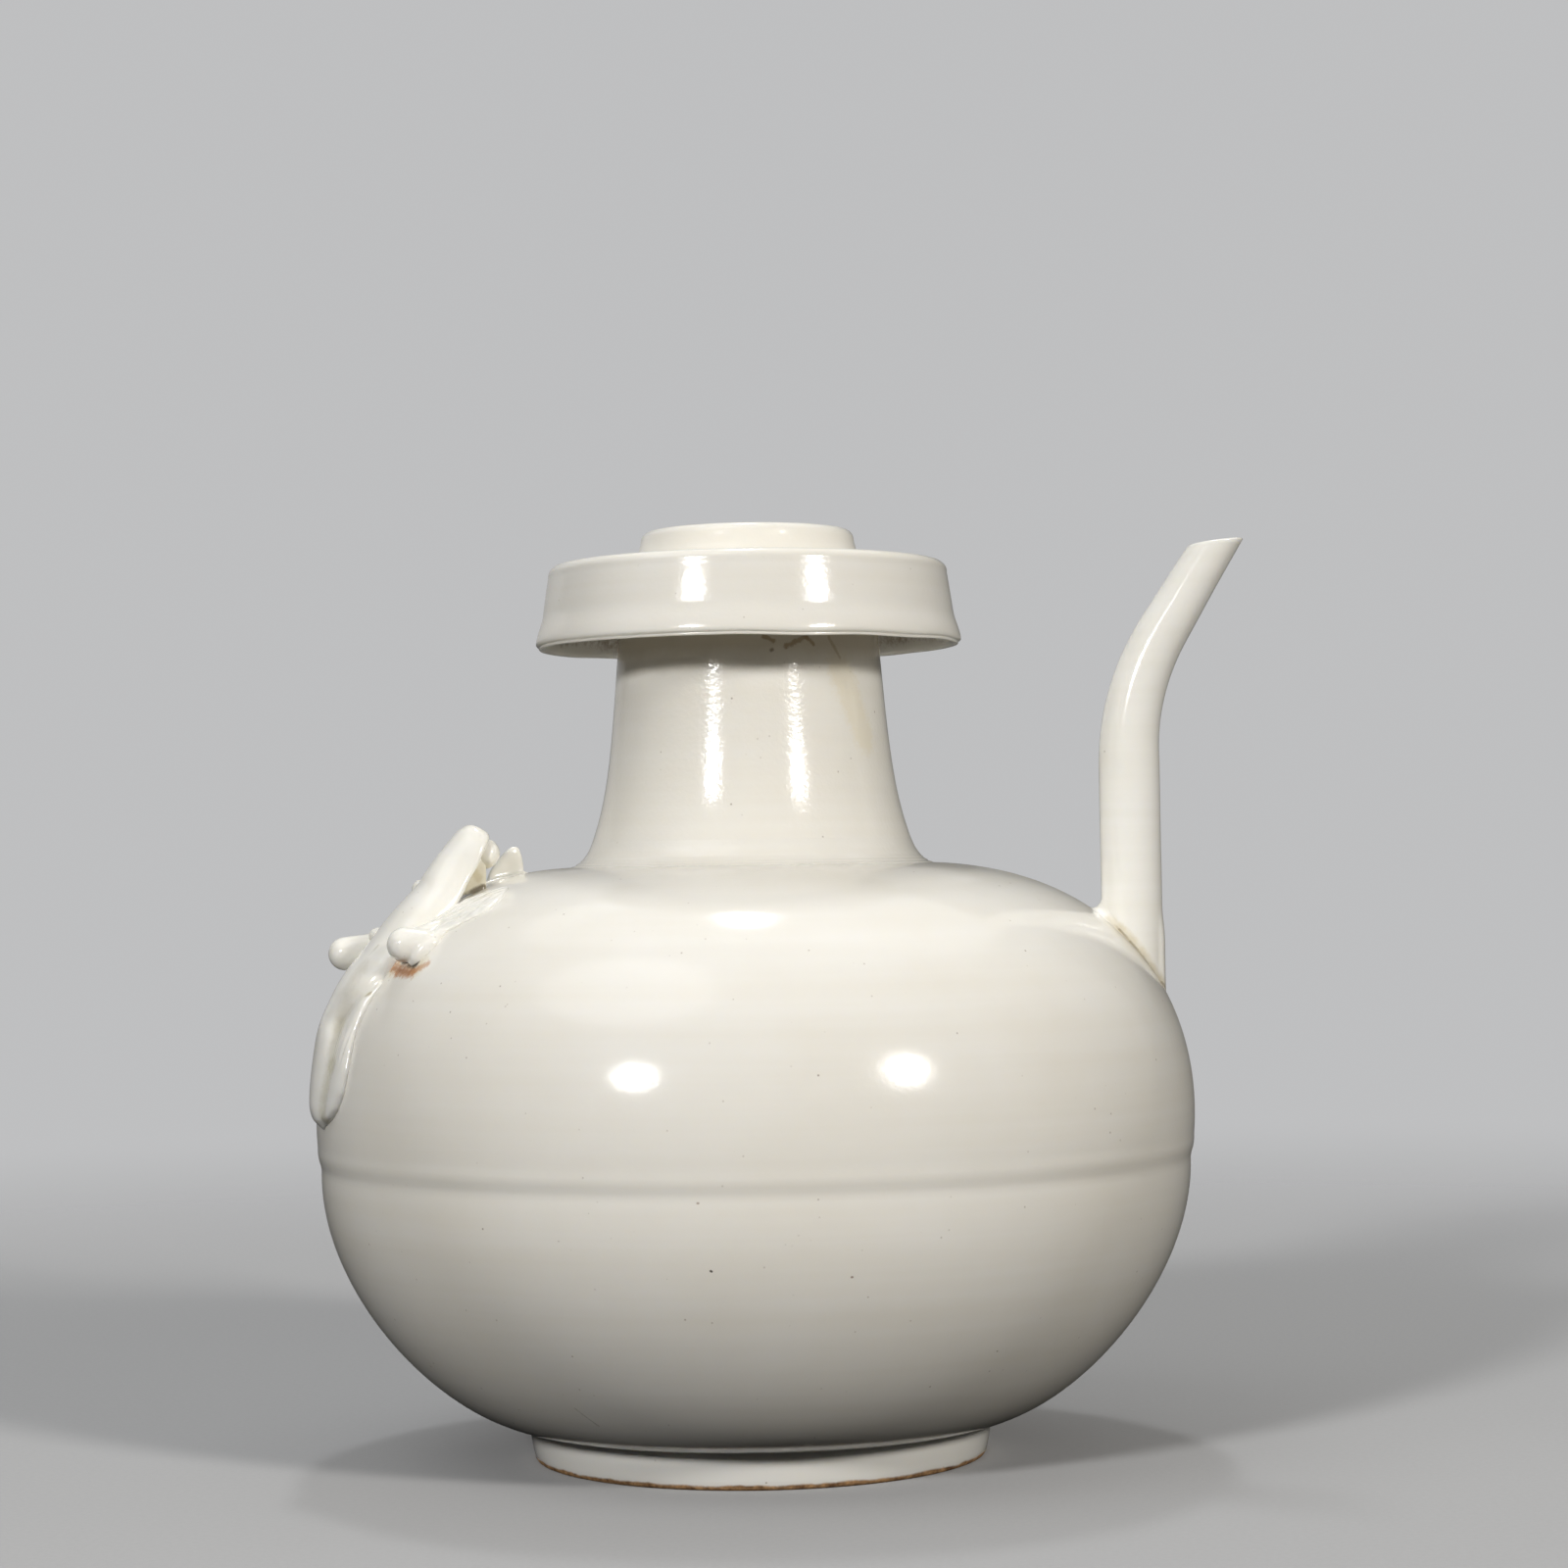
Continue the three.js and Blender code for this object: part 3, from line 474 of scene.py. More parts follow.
FLANGE_OUTLINE = [
    (0.0190, 0.1774),
    (0.0190, 0.1806),
    (0.0260, 0.18065),
    (0.0330, 0.1806),
    (0.0375, 0.1805),
    *rounded_corner((0.0386, 0.17835), 0.0021, 88.0, 9.5, 8),
    *bent_line((0.04067, 0.1782), (0.04109, 0.1757), (0.04148, 0.1731), (0.04183, 0.1705), 9),
    *bent_line((0.04183, 0.1705), (0.04205, 0.1686), (0.0433, 0.1663), (0.04335, 0.1645), 10)[1:],
    (0.0432, 0.16425),
    (0.0429, 0.1641),
    (0.0427, 0.1640),
    (0.0427, 0.1639),
    (0.0428, 0.1637),
    (0.0426, 0.1635),
    (0.0422, 0.16345),
    (0.0417, 0.1636),
    (0.0412, 0.1641),
    (0.0409, 0.1650),
    (0.0407, 0.1665),
    (0.0403, 0.1690),
    (0.0397, 0.1720),
    (0.0391, 0.1745),
    (0.0386, 0.1760),
    (0.0377, 0.1769),
    (0.0362, 0.1773),
    (0.0320, 0.1774),
    (0.0265, 0.1774),
]
COLLAR_TOP, COLLAR_EDGE = 0.1873, 0.0006
COLLAR_OUTLINE = [
    (0.0190, 0.18065),
    (0.0249, 0.18062),
    (0.0240, 0.18075),
    (0.0234, 0.1811),
    (0.0230, 0.1816),
    (0.0226, 0.1823),
    (0.0222, 0.1833),
    (0.0219, 0.1844),
    (0.02175, 0.1851),
    *rounded_corner((0.0197, 0.1853), 0.0020, 12.0, 90.0, 10),
    *rounded_corner((0.0196, COLLAR_TOP - COLLAR_EDGE), COLLAR_EDGE, 90.0, 180.0, 4),
    (0.0190, 0.1840),
]
SKIRT_INSIDE, SKIRT_BROWN = 0.0390, (0.26, 0.17, 0.09)


def hand_turned(bm, low, high, amount, skip):
    """Lets a rim wander up and down a little, fully at low and not at all above high."""
    for vert in bm.verts:
        turn = Vector((vert.co.x - AXIS_X, vert.co.y, 0.0)).normalized()
        share = 1.0 - soft_step(vert.co.z, low, high)
        vert.co.z += noise.noise(turn * 2.6 + Vector((0, 0, skip))) * amount * share


flange = thrown(FLANGE_OUTLINE, 192, closed=True, wander=0.00016, lines=0.00003, skip=15)
hand_turned(flange, 0.1650, 0.1760, 0.0004, 3.0)
skirt_dirt = marks_round(
    *(
        ((SKIRT_INSIDE, turn, 0.1665), (SKIRT_INSIDE, turn + 20.0, 0.1668), 0.0028, SKIRT_BROWN, 0.75, 1.4)
        for turn in range(0, 360, 24)
    )
)
flange_glaze = glaze("Flange glaze", WARM_WHITE, CREAM, skirt_dirt, ripple=0.24)
glazed_piece("flange", flange, flange_glaze, ("mouth_flange",))
collar = thrown(COLLAR_OUTLINE, 144, closed=True, wander=0.00018, lines=0.00002, skip=21)
glazed_piece("collar", collar, flange_glaze, ("mouth_collar",))


# The spout: a slender tube rolled and pulled by hand, upright and then bent outwards, cut on a slant.
# It stands over a hole in the shoulder, and soft clay was smoothed round its root before glazing.
SPOUT_X = 0.07692 + AXIS_X
SPOUT_FOOT, BEND_HEIGHT = 0.0885, 0.13946
BEND_RADIUS, SPOUT_LEAN = 0.0491, math.radians(31.7)
SPOUT_RUN = 0.0208
ROOT_RADIUS, TIP_RADIUS = 0.0061, 0.0044
ROOT_BORE, TIP_BORE = 0.0036, 0.0029
CUT_SLOPE = math.radians(6.2)
SPOUT_SIDES, OUTER_STEPS, BORE_STEPS = 72, 72, 24
SLANT_RUN, SLANT_STEPS = 0.0075, (0.25, 0.5, 0.75, 0.9, 1.0)
LIP_SET_BACK, LIP_ROUND = 0.0004, 0.0005
DRAWN_STAND, DRAWN_FROM, DRAWN_TO = 0.0005, 0.1025, 0.1100


def spout_point(travel):
    """The middle of the spout and its direction, by the way travelled from its foot."""
    upright = BEND_HEIGHT - SPOUT_FOOT
    around = BEND_RADIUS * SPOUT_LEAN
    if travel < upright:
        return Vector((SPOUT_X, 0.0, SPOUT_FOOT + travel)), Vector((0.0, 0.0, 1.0))
    turn = min((travel - upright) / BEND_RADIUS, SPOUT_LEAN)
    ahead = Vector((math.sin(turn), 0.0, math.cos(turn)))
    bent_out, bent_up = BEND_RADIUS * (1 - math.cos(turn)), BEND_RADIUS * math.sin(turn)
    middle = Vector((SPOUT_X + bent_out, 0.0, BEND_HEIGHT + bent_up))
    if travel > upright + around:
        middle = middle + ahead * (travel - upright - around)
    return middle, ahead


SPOUT_LENGTH = BEND_HEIGHT - SPOUT_FOOT + BEND_RADIUS * SPOUT_LEAN + SPOUT_RUN
LAST_SQUARE = SPOUT_LENGTH - SLANT_RUN


def lofted(rings, cap_start=False, cap_end=False):
    """Joins rings of points, each with the same number of points, into a skin."""
    bm = bmesh.new()
    loops = []
    for ring in rings:
        made = bmesh.ops.create_circle(bm, segments=len(ring), radius=1.0)["verts"]
        for vert, place in zip(made, ring):
            vert.co = place
        loops.append([e for e in bm.edges if e.verts[0] in made and e.verts[1] in made])
    for low, high in zip(loops, loops[1:]):
        bmesh.ops.bridge_loops(bm, edges=low + high)
    if cap_start:
        bmesh.ops.contextual_create(bm, geom=loops[0])
    if cap_end:
        bmesh.ops.contextual_create(bm, geom=loops[-1])
    bmesh.ops.recalc_face_normals(bm, faces=bm.faces)
    return bm


def spout_ring(travel, radius, cut=0.0):
    """One ring of the tube. With cut, its plane is laid over from square towards the slant of the tip."""
    middle, ahead = spout_point(travel)
    across = Vector((0.0, 1.0, 0.0)).cross(ahead)
    level = Vector((math.cos(CUT_SLOPE), 0.0, math.sin(CUT_SLOPE)))
    slant = level / level.dot(across)
    in_plane = across.lerp(slant, cut)
    ring = []
    for i in range(SPOUT_SIDES):
        turn = math.tau * i / SPOUT_SIDES
        wobble = 1.0 + 0.012 * noise.noise(Vector((math.cos(turn), math.sin(turn), travel * 60.0)))
        look = in_plane * math.cos(turn) + Vector((0, 1, 0)) * math.sin(turn)
        ring.append(middle + look * radius * wobble)
    return ring


def spout_size(travel, foot_size, tip_size):
    """The radius at that travel: even up to the bend, then narrowing to the tip."""
    start = BEND_HEIGHT - SPOUT_FOOT
    share = max(travel - start, 0.0) / (SPOUT_LENGTH - start)
    return foot_size + (tip_size - foot_size) * share


def tube_rings(steps, foot_size, tip_size):
    """Rings of a tube from its foot to its slanted tip, laid over further and further near the tip."""
    made = []
    for i in range(steps + 1):
        travel = LAST_SQUARE * i / steps
        made.append(spout_ring(travel, spout_size(travel, foot_size, tip_size)))
    for share in SLANT_STEPS:
        travel = LAST_SQUARE + SLANT_RUN * share - LIP_SET_BACK
        made.append(spout_ring(travel, spout_size(travel, foot_size, tip_size), share))
    return made


lip_rings = []
lip_wall = (TIP_RADIUS - TIP_BORE) / 2
for turn in (30, 60, 90, 120, 150):
    swell = math.radians(turn)
    size = TIP_BORE + lip_wall + lip_wall * math.cos(swell)
    lip_rings.append(spout_ring(SPOUT_LENGTH - LIP_SET_BACK + LIP_ROUND * math.sin(swell), size, 1.0))
outside = tube_rings(OUTER_STEPS, ROOT_RADIUS, TIP_RADIUS)
inside = tube_rings(BORE_STEPS, ROOT_BORE, TIP_BORE)[::-1]
spout = lofted(outside + lip_rings + inside)
# Soft clay was drawn up the outer side of its foot and ends there in a fine line.
for vert in spout.verts:
    away = Vector((vert.co.x - SPOUT_X, vert.co.y, 0.0))
    if away.length > (ROOT_RADIUS + ROOT_BORE) / 2:
        outer_side = soft_step(away.x / away.length, 0.87, 0.94)
        drawn = outer_side * (1.0 - soft_step(vert.co.z, DRAWN_FROM, DRAWN_TO))
        vert.co += away.normalized() * DRAWN_STAND * drawn

DOME_LINE = bent_line(*DOME, 400)


def dome_over(radius):
    """The dome's height at a radius, and which way its surface looks there (outward, upward)."""
    for low, high in zip(DOME_LINE, DOME_LINE[1:]):
        if high[0] <= radius <= low[0] and low[1] > 0.085:
            share = (low[0] - radius) / (low[0] - high[0])
            along = Vector((high[0] - low[0], high[1] - low[1])).normalized()
            return low[1] + (high[1] - low[1]) * share, along.y, -along.x
    return DOME_LINE[-1][1], 0.0, 1.0


def on_dome(x, y, lift):
    """The place on the shoulder over a point of the ground plan, raised square to the surface."""
    out = Vector((x - AXIS_X, y, 0.0))
    height, level, up = dome_over(out.length)
    side = out.normalized()
    return Vector((x, y, height)) + (side * level + Vector((0, 0, up))) * lift


CREASE_RADIUS, CREASE_LIFT = ROOT_RADIUS + 0.0003, 0.0002
SOFT_IVORY, CREASE_SHADE_BEIGE, CREASE_SHADE_DARK = (0.870, 0.852, 0.780), (0.70, 0.63, 0.46), (0.34, 0.29, 0.20)
# Painted shade along the near side of the spout's foot: a broad darker beige and a thin dark line in the
# crease.
spout_crease_shade = []
for turn in range(225, 345, 20):
    crease = []
    for bearing in (math.radians(turn), math.radians(turn + 20)):
        across, side = CREASE_RADIUS * math.cos(bearing), CREASE_RADIUS * math.sin(bearing)
        crease.append(on_dome(SPOUT_X + across, side, CREASE_LIFT))
    spout_crease_shade.append((*crease, 0.0019, CREASE_SHADE_BEIGE, 0.5, 0.8))
    spout_crease_shade.append((*crease, 0.0005, CREASE_SHADE_DARK, 0.7, 0.9))
spout_glaze = glaze("Spout glaze", PALE_IVORY, SOFT_IVORY, spout_crease_shade, ripple=0.08)
glazed_piece("spout_tube", spout, spout_glaze, ("spout",))


def sheet_of(columns, rows, place):
    """A skin made from a grid: place(u, v) says where each of its points goes, for u and v from 0 to 1."""
    bm = bmesh.new()
    bmesh.ops.create_grid(bm, x_segments=columns, y_segments=rows, size=0.5)
    for vert in bm.verts:
        vert.co = place(vert.co.x + 0.5, vert.co.y + 0.5)
    bmesh.ops.remove_doubles(bm, verts=bm.verts, dist=1e-6)
    bmesh.ops.recalc_face_normals(bm, faces=bm.faces)
    return bm


CREASE_REACH, UPHILL_REACH = 0.00035, 0.0028
CREASE_RISE, UPHILL_RISE = 0.0006, 0.0040
ROOT_OVERLAP, EDGE_SINK = 0.00012, 0.00015


def root_fillet(u, v):
    """Clay round the root: wide and soft on the uphill side, a tight crease on the outer side."""
    turn = math.tau * u
    look = Vector((math.cos(turn), math.sin(turn), 0.0))
    uphill = 0.5 - 0.5 * math.cos(turn)
    reach = CREASE_REACH + UPHILL_REACH * uphill**3
    rise = CREASE_RISE + UPHILL_RISE * uphill**3
    near = ROOT_RADIUS - ROOT_OVERLAP
    curve = math.radians(90.0 * v)
    out = near + reach * (1 - math.cos(curve))
    foot = on_dome(SPOUT_X + look.x * out, look.y * out, 0.0)
    foot.z += rise * (1 - math.sin(curve)) - EDGE_SINK * v
    return foot


root = sheet_of(72, 10, root_fillet)
glazed_piece("spout_fillet", root, spout_glaze, ("spout_root_clay",))


# The strap loop: one strip of clay laid up the shoulder as a low mound, standing free as a thick finger at
# its top, and folded back so that a thin web stands under the fold over a narrow slot. It was luted on with
# slip. Its places are in millimetres, and it is let a little way into the shoulder.
LOOP_TURN = math.radians(206.0)
LOOP_OUT = Vector((math.cos(LOOP_TURN), math.sin(LOOP_TURN), 0.0))
LOOP_SIDE = Vector((-math.sin(LOOP_TURN), math.cos(LOOP_TURN), 0.0))
STRAP_SIDES, WEB_SIDES, BLADE_SIDES = 56, 36, 40
LET_IN = 0.9
WEB_OUT, WEB_SIDE, WEB_HALF_LENGTH, WEB_HALF_THICK, WEB_SKEW = 60.6, 2.0, 3.6, 1.3, 0.9
WEB_STEPS, WEB_SUNK, WEB_TOP, WEB_END, WEB_SLOPE = 8, 0.6, 125.6, 57.0, 0.72
SLOT_FROM, SLOT_TO, SLOT_HEIGHT = 57.4, 60.4, 1.5
BLADE_STEPS, BLADE_FOOT, BLADE_TOP, BLADE_THICK = 45, 69.4, 97.5, 1.35
# Where the strip lies on the shoulder: height, thickness, far side, near side.
LYING_ROWS = (
    (68.6, 0.1, -4.6, -3.2),
    (69.2, 0.7, -5.8, -2.0),
    (70.0, 1.5, -7.0, -0.8),
    (70.8, 2.1, -8.0, 0.3),
    (72.4, 2.65, -8.6, 1.0),
    (74.0, 2.85, -9.0, 1.6),
    (77.0, 3.05, -9.4, 2.8),
    (81.5, 3.35, -9.6, 3.5),
    (86.0, 3.85, -9.8, 3.2),
    (89.0, 3.95, -10.0, 2.8),
    (91.8, 4.0, -9.9, 5.2),
    (94.6, 4.2, -9.6, 8.0),
    (97.0, 4.2, -9.4, 9.2),
    (99.5, 3.95, -9.3, 9.4),
    (101.6, 3.85, -9.2, 9.3),
    (104.3, 4.2, -9.0, 9.0),
    (106.7, 4.85, -8.8, 9.2),
    (108.9, 5.55, -8.4, 9.4),
    (110.9, 6.4, -8.0, 8.8),
)
# Where it stands free: outer line (distance, height), inner line, far side, near side, how free.
STANDING_ROWS = (
    ((68.7, 118.2), (63.2, 113.6), -7.4, 8.0, 0.5),
    ((66.6, 121.2), (61.2, 116.8), -6.9, 7.2, 0.9),
    ((64.9, 123.2), (59.8, 118.9), -6.6, 7.0, 1.0),
    ((63.5, 124.9), (58.8, 120.9), -6.4, 6.9, 1.0),
    ((62.2, 126.4), (57.9, 122.8), -6.1, 6.6, 1.0),
    ((61.0, 127.4), (57.0, 124.1), -5.5, 6.0, 1.0),
    ((59.8, 127.95), (56.5, 124.9), -4.6, 5.2, 1.0),
    ((58.7, 127.85), (56.2, 125.8), -3.2, 3.8, 1.0),
    ((57.8, 127.3), (56.4, 126.3), -1.4, 1.8, 1.0),
)


def loop_point(out, side, height):
    """A place by millimetres: out from the vessel's axis along the loop, sideways, and up."""
    return Vector((AXIS_X, 0.0, 0.0)) + (LOOP_OUT * out + LOOP_SIDE * side + Vector((0, 0, height))) / 1000.0


def squared(value, power):
    """Keeps the sign, and flattens a circle towards a rounded square."""
    return math.copysign(abs(value) ** power, value)


def dome_at(height):
    """The dome's radius at a height, and which way its surface looks there (outward, upward)."""
    for low, high in zip(DOME_LINE, DOME_LINE[1:]):
        if low[1] <= height <= high[1]:
            share = (height - low[1]) / (high[1] - low[1])
            along = Vector((high[0] - low[0], high[1] - low[1])).normalized()
            return low[0] + (high[0] - low[0]) * share, along.y, -along.x
    return DOME_LINE[-1][0], 0.0, 1.0


def lying_row(height, thick, far, near):
    """The outer and inner line of the strip where it lies on the shoulder."""
    radius, level, up = dome_at(height / 1000.0)
    lines = [(radius * 1000.0 + level * lift, height + up * lift) for lift in (thick, -LET_IN)]
    return (*lines, far, near, 0.0)


def strip_ring(row):
    """One section of the strip: a mound on the shoulder, with sharper sides where it stands free."""
    (out_a, up_a, out_b, up_b), far, near, free = row[:4], row[4], row[5], row[6]
    base = LET_IN / math.hypot(out_a - out_b, up_a - up_b)
    ring = []
    for i in range(STRAP_SIDES):
        turn = math.tau * i / STRAP_SIDES
        rise = math.sin(turn)
        fall = 0.95 + 0.5 * free
        share = base + (1 - base) * rise**fall if rise > 0 else base * (1 - abs(rise) ** 0.5)
        side = (far + near) / 2 + (near - far) / 2 * squared(math.cos(turn), 0.8)
        out, up = out_b + (out_a - out_b) * share, up_b + (up_a - up_b) * share
        ring.append(loop_point(out - side * side / (2 * out) * (1 - free), side, up))
    return ring


def eased(rows, between):
    """Adds rows between those given, on a smooth curve through them."""
    made = []
    for i in range(len(rows) - 1):
        a, b, c, d = (rows[min(max(k, 0), len(rows) - 1)] for k in (i - 1, i, i + 1, i + 2))
        for j in range(between):
            t = j / between
            row = []
            for p, q, r, s in zip(a, b, c, d):
                bend, twist = 2 * p - 5 * q + 4 * r - s, 3 * q - p - 3 * r + s
                row.append(0.5 * (2 * q + (r - p) * t + bend * t * t + twist * t**3))
            made.append(row)
    made.append(list(rows[-1]))
    return made


def joined_shapes(shapes):
    """Puts several shapes into one."""
    whole = bmesh.new()
    for shape in shapes:
        mesh = bpy.data.meshes.new("part")
        shape.to_mesh(mesh)
        shape.free()
        whole.from_mesh(mesh)
        bpy.data.meshes.remove(mesh)
    return whole


def kneaded(lumps, grain=0.00022, rubs=8):
    """Works lumps of clay into one piece and rubs its surface smooth."""
    whole = joined_shapes(lumps)
    mesh = bpy.data.meshes.new("lump")
    whole.to_mesh(mesh)
    whole.free()
    lump = bpy.data.objects.new("lump", mesh)
    bpy.context.scene.collection.objects.link(lump)
    press = lump.modifiers.new("press", "REMESH")
    press.mode = "VOXEL"
    press.voxel_size = grain
    worked = lump.evaluated_get(bpy.context.evaluated_depsgraph_get())
    pressed = bpy.data.meshes.new_from_object(worked)
    bm = bmesh.new()
    bm.from_mesh(pressed)
    bpy.data.objects.remove(lump)
    bpy.data.meshes.remove(mesh)
    bpy.data.meshes.remove(pressed)
    for _ in range(rubs):
        bmesh.ops.smooth_vert(
            bm, verts=bm.verts, factor=0.5, use_axis_x=True, use_axis_y=True, use_axis_z=True
        )
    return bm


def web_rings():
    """The thin fold under the finger: a wall that leaves a slot between itself and the shoulder."""
    rings = []
    for k in range(WEB_STEPS + 1):
        ring = []
        for i in range(WEB_SIDES):
            turn = math.tau * i / WEB_SIDES
            along, thick = squared(math.cos(turn), 0.5), squared(math.sin(turn), 0.6)
            out = WEB_OUT - WEB_HALF_LENGTH * along
            side = WEB_SIDE + WEB_SKEW * along + WEB_HALF_THICK * thick
            shoulder = dome_over(math.hypot(out, side) / 1000.0)[0] * 1000.0
            low = shoulder - WEB_SUNK + SLOT_HEIGHT * soft_step(out, SLOT_FROM, SLOT_TO)
            high = WEB_TOP - WEB_SLOPE * (out - WEB_END)
            ring.append(loop_point(out, side, low + (high - low) * k / WEB_STEPS))
        rings.append(ring)
    return rings


strip_rows = []
for row in [lying_row(*row) for row in LYING_ROWS] + list(STANDING_ROWS):
    strip_rows.append((*row[0], *row[1], *row[2:]))
strip = lofted([strip_ring(row) for row in eased(strip_rows, 3)], True, True)
web = lofted(web_rings(), True, True)


# The tail blade's two edges, as (height, side), from its tip to where it runs out beside the knob.
ROLL_EDGE = (
    (69.4, -2.4), (72.4, 1.0), (77.0, 2.8), (81.5, 3.5), (86.0, 3.2), (89.0, 2.8), (93.8, 7.5), (97.5, 9.0),
)
NEAR_EDGE = (
    (69.4, -1.0), (70.3, 1.6), (71.5, 4.8), (73.3, 7.6), (76.5, 9.9), (80.5, 10.5), (84.9, 9.8), (88.3, 8.9),
    (91.4, 9.0), (94.0, 9.3), (96.7, 10.0), (97.5, 9.9),
)


def read_off(table, value):
    """The value of a measured curve, between its points."""
    for low, high in zip(table, table[1:]):
        if value <= high[0]:
            t = min(max((value - low[0]) / (high[0] - low[0]), 0.0), 1.0)
            return low[1] + (high[1] - low[1]) * t
    return table[-1][1]


def blade_rings():
    """The near blade of the tail: thin clay pressed flat beside the roll, with its edge rubbed round."""
    rings = []
    for i in range(BLADE_STEPS + 1):
        height = BLADE_FOOT + (BLADE_TOP - BLADE_FOOT) * i / BLADE_STEPS
        roll, near = read_off(ROLL_EDGE, height), read_off(NEAR_EDGE, height)
        inner_side = min(roll - 3.0, near - 0.8)
        thinned = 1.0 - 0.7 * soft_step(height, 93.0, BLADE_TOP)
        thick = BLADE_THICK * soft_step(height, 69.0, 71.5) * thinned + 0.1
        ring = []
        for k in range(BLADE_SIDES):
            turn = math.tau * k / BLADE_SIDES
            side = (inner_side + near) / 2 + (near - inner_side) / 2 * squared(math.cos(turn), 0.7)
            lift = thick * math.sin(turn) ** 0.9 if math.sin(turn) > 0 else LET_IN * math.sin(turn)
            radius, level, up = dome_at(height / 1000.0)
            out = math.sqrt((radius * 1000.0) ** 2 - side * side)
            ring.append(loop_point(out + lift * level, side + lift * level * side / out, height + lift * up))
        rings.append(ring)
    return rings


ROUND_ENDS = (range(6, 90, 7), range(8, 86, 7))


def thumb(start, end, first, last, sides=36):
    """A round-ended bar from start to end, with the radius going from first to last."""
    a, b = Vector(start), Vector(end)
    ahead = (b - a).normalized()
    level = Vector((0, 0, 1)).cross(ahead).normalized()
    lifted = ahead.cross(level)
    length = (b - a).length
    ends = [[(math.cos(math.radians(q)), math.sin(math.radians(q))) for q in turns] for turns in ROUND_ENDS]
    steps = [(-first * c, first * s) for c, s in ends[0]]
    steps += [(length * q / 12, first + (last - first) * q / 12) for q in range(13)]
    steps += [(length + last * s, last * c) for c, s in ends[1]]
    rings = []
    for along, size in steps:
        ring = []
        for k in range(sides):
            turn = math.tau * k / sides
            look = level * math.cos(turn) + lifted * math.sin(turn)
            ring.append(loop_point(*(a + ahead * along + look * size)))
        rings.append(ring)
    return lofted(rings, True, True)


blade = lofted(blade_rings(), True, True)
# A soft ridge runs down the near side of the strip from beside the knob.
ridge = thumb((78.2, 4.9, 104.1), (81.0, -3.6, 100.6), 1.05, 1.25)
whole_strip = kneaded([strip, web, blade, ridge])
# The finger and the tail are parted square to the strip, beside the knobs, where they were luted together.
PARTING = loop_point(80.3, 3.0, 103.5)
UPWARDS = (LOOP_OUT * -0.64 + Vector((0, 0, 0.77))).normalized()
tail = whole_strip.copy()
for shape, keep_above in ((whole_strip, True), (tail, False)):
    bmesh.ops.bisect_plane(
        shape,
        geom=shape.verts[:] + shape.edges[:] + shape.faces[:],
        dist=1e-6,
        plane_co=PARTING,
        plane_no=UPWARDS,
        clear_inner=keep_above,
        clear_outer=not keep_above,
    )
# Fine lines run down the middle of the blade.
COMB_DEPTH = 0.00022
tail.normal_update()
for vert in tail.verts:
    place = vert.co - Vector((AXIS_X, 0.0, 0.0))
    side, height = place.dot(LOOP_SIDE) * 1000.0, place.z * 1000.0
    roll, near = read_off(ROLL_EDGE, height), read_off(NEAR_EDGE, height)
    on_blade = soft_step(side, roll - 0.2, roll + 0.8) * (1.0 - soft_step(side, near - 0.9, near + 0.2))
    long = soft_step(height, 81.0, 84.5) * (1.0 - soft_step(height, 87.5, 90.0))
    comb = noise.noise(Vector((side * 1.15, height * 0.06, 3.0)))
    vert.co += vert.normal * comb * on_blade * long * COMB_DEPTH
# Marks on the loop: brown spots and rust, and painted shade on the web, in the slot and down the groove.
loop_dirt_and_shade = [
    (loop_point(*start), loop_point(*end), *look)
    for start, end, *look in (
        ((60.4, 3.4, 119.4), (58.8, 3.8, 117.4), 0.0012, (0.45, 0.35, 0.15), 0.5, 1.5),
        # Painted shade: a darker cream on the web's face under the finger.
        ((62.0, 3.0, 116.0), (58.0, 3.6, 118.0), 0.0042, (0.74, 0.68, 0.50), 0.6, 0.6),
        # Painted shade: near black in the slot under the web.
        ((61.8, 3.6, 114.0), (57.8, 3.8, 115.6), 0.0009, (0.10, 0.07, 0.03), 0.8, 1.0),
        # Painted shade in the groove between the roll and the blade, then two thin brown lines on the strip.
        ((82.0, 4.6, 99.5), (86.0, 2.8, 89.1), 0.0032, (0.66, 0.62, 0.52), 0.5, 0.8),
        ((81.8, 10.0, 96.4), (86.0, 2.4, 89.1), 0.0005, (0.40, 0.33, 0.19), 0.6, 0.9),
        ((79.4, 4.5, 104.4), (83.2, 3.0, 98.8), 0.0006, (0.50, 0.46, 0.36), 0.4, 1.0),
        # Painted shade, further down the groove.
        ((86.0, 2.6, 89.1), (88.3, 4.2, 81.5), 0.0026, (0.60, 0.57, 0.43), 0.45, 0.8),
        ((88.3, 4.2, 81.5), (89.6, 1.4, 71.5), 0.0026, (0.56, 0.53, 0.39), 0.5, 0.8),
        ((75.2, 11.9, 101.0), (77.0, 17.5, 100.4), 0.0012, (0.50, 0.26, 0.10), 0.7, 1.4),
    )
]
# The loop's glaze is painted paler than the body's: painted light for the brighter light the loop catches.
loop_glaze = glaze("Loop glaze", PALE_IVORY, SOFT_IVORY, loop_dirt_and_shade, ripple=0.08)
glazed_piece("strap_finger", whole_strip, loop_glaze, ("loop_strap",))
glazed_piece("strap_tail", tail, loop_glaze, ("tail_leaf",))


# The side leaves: each is one pinch of clay with a round knob at its outer end and a pressed blade,
# laid on the shoulder beside the strap. The far one stands up at its tip as a small rounded fin.
def on_shoulder(out, side, lift):
    """A place over the shoulder: along the loop, to its side, and raised square to the surface."""
    ground = (LOOP_OUT * out + LOOP_SIDE * side) / 1000.0
    return on_dome(AXIS_X + ground.x, ground.y, lift / 1000.0)


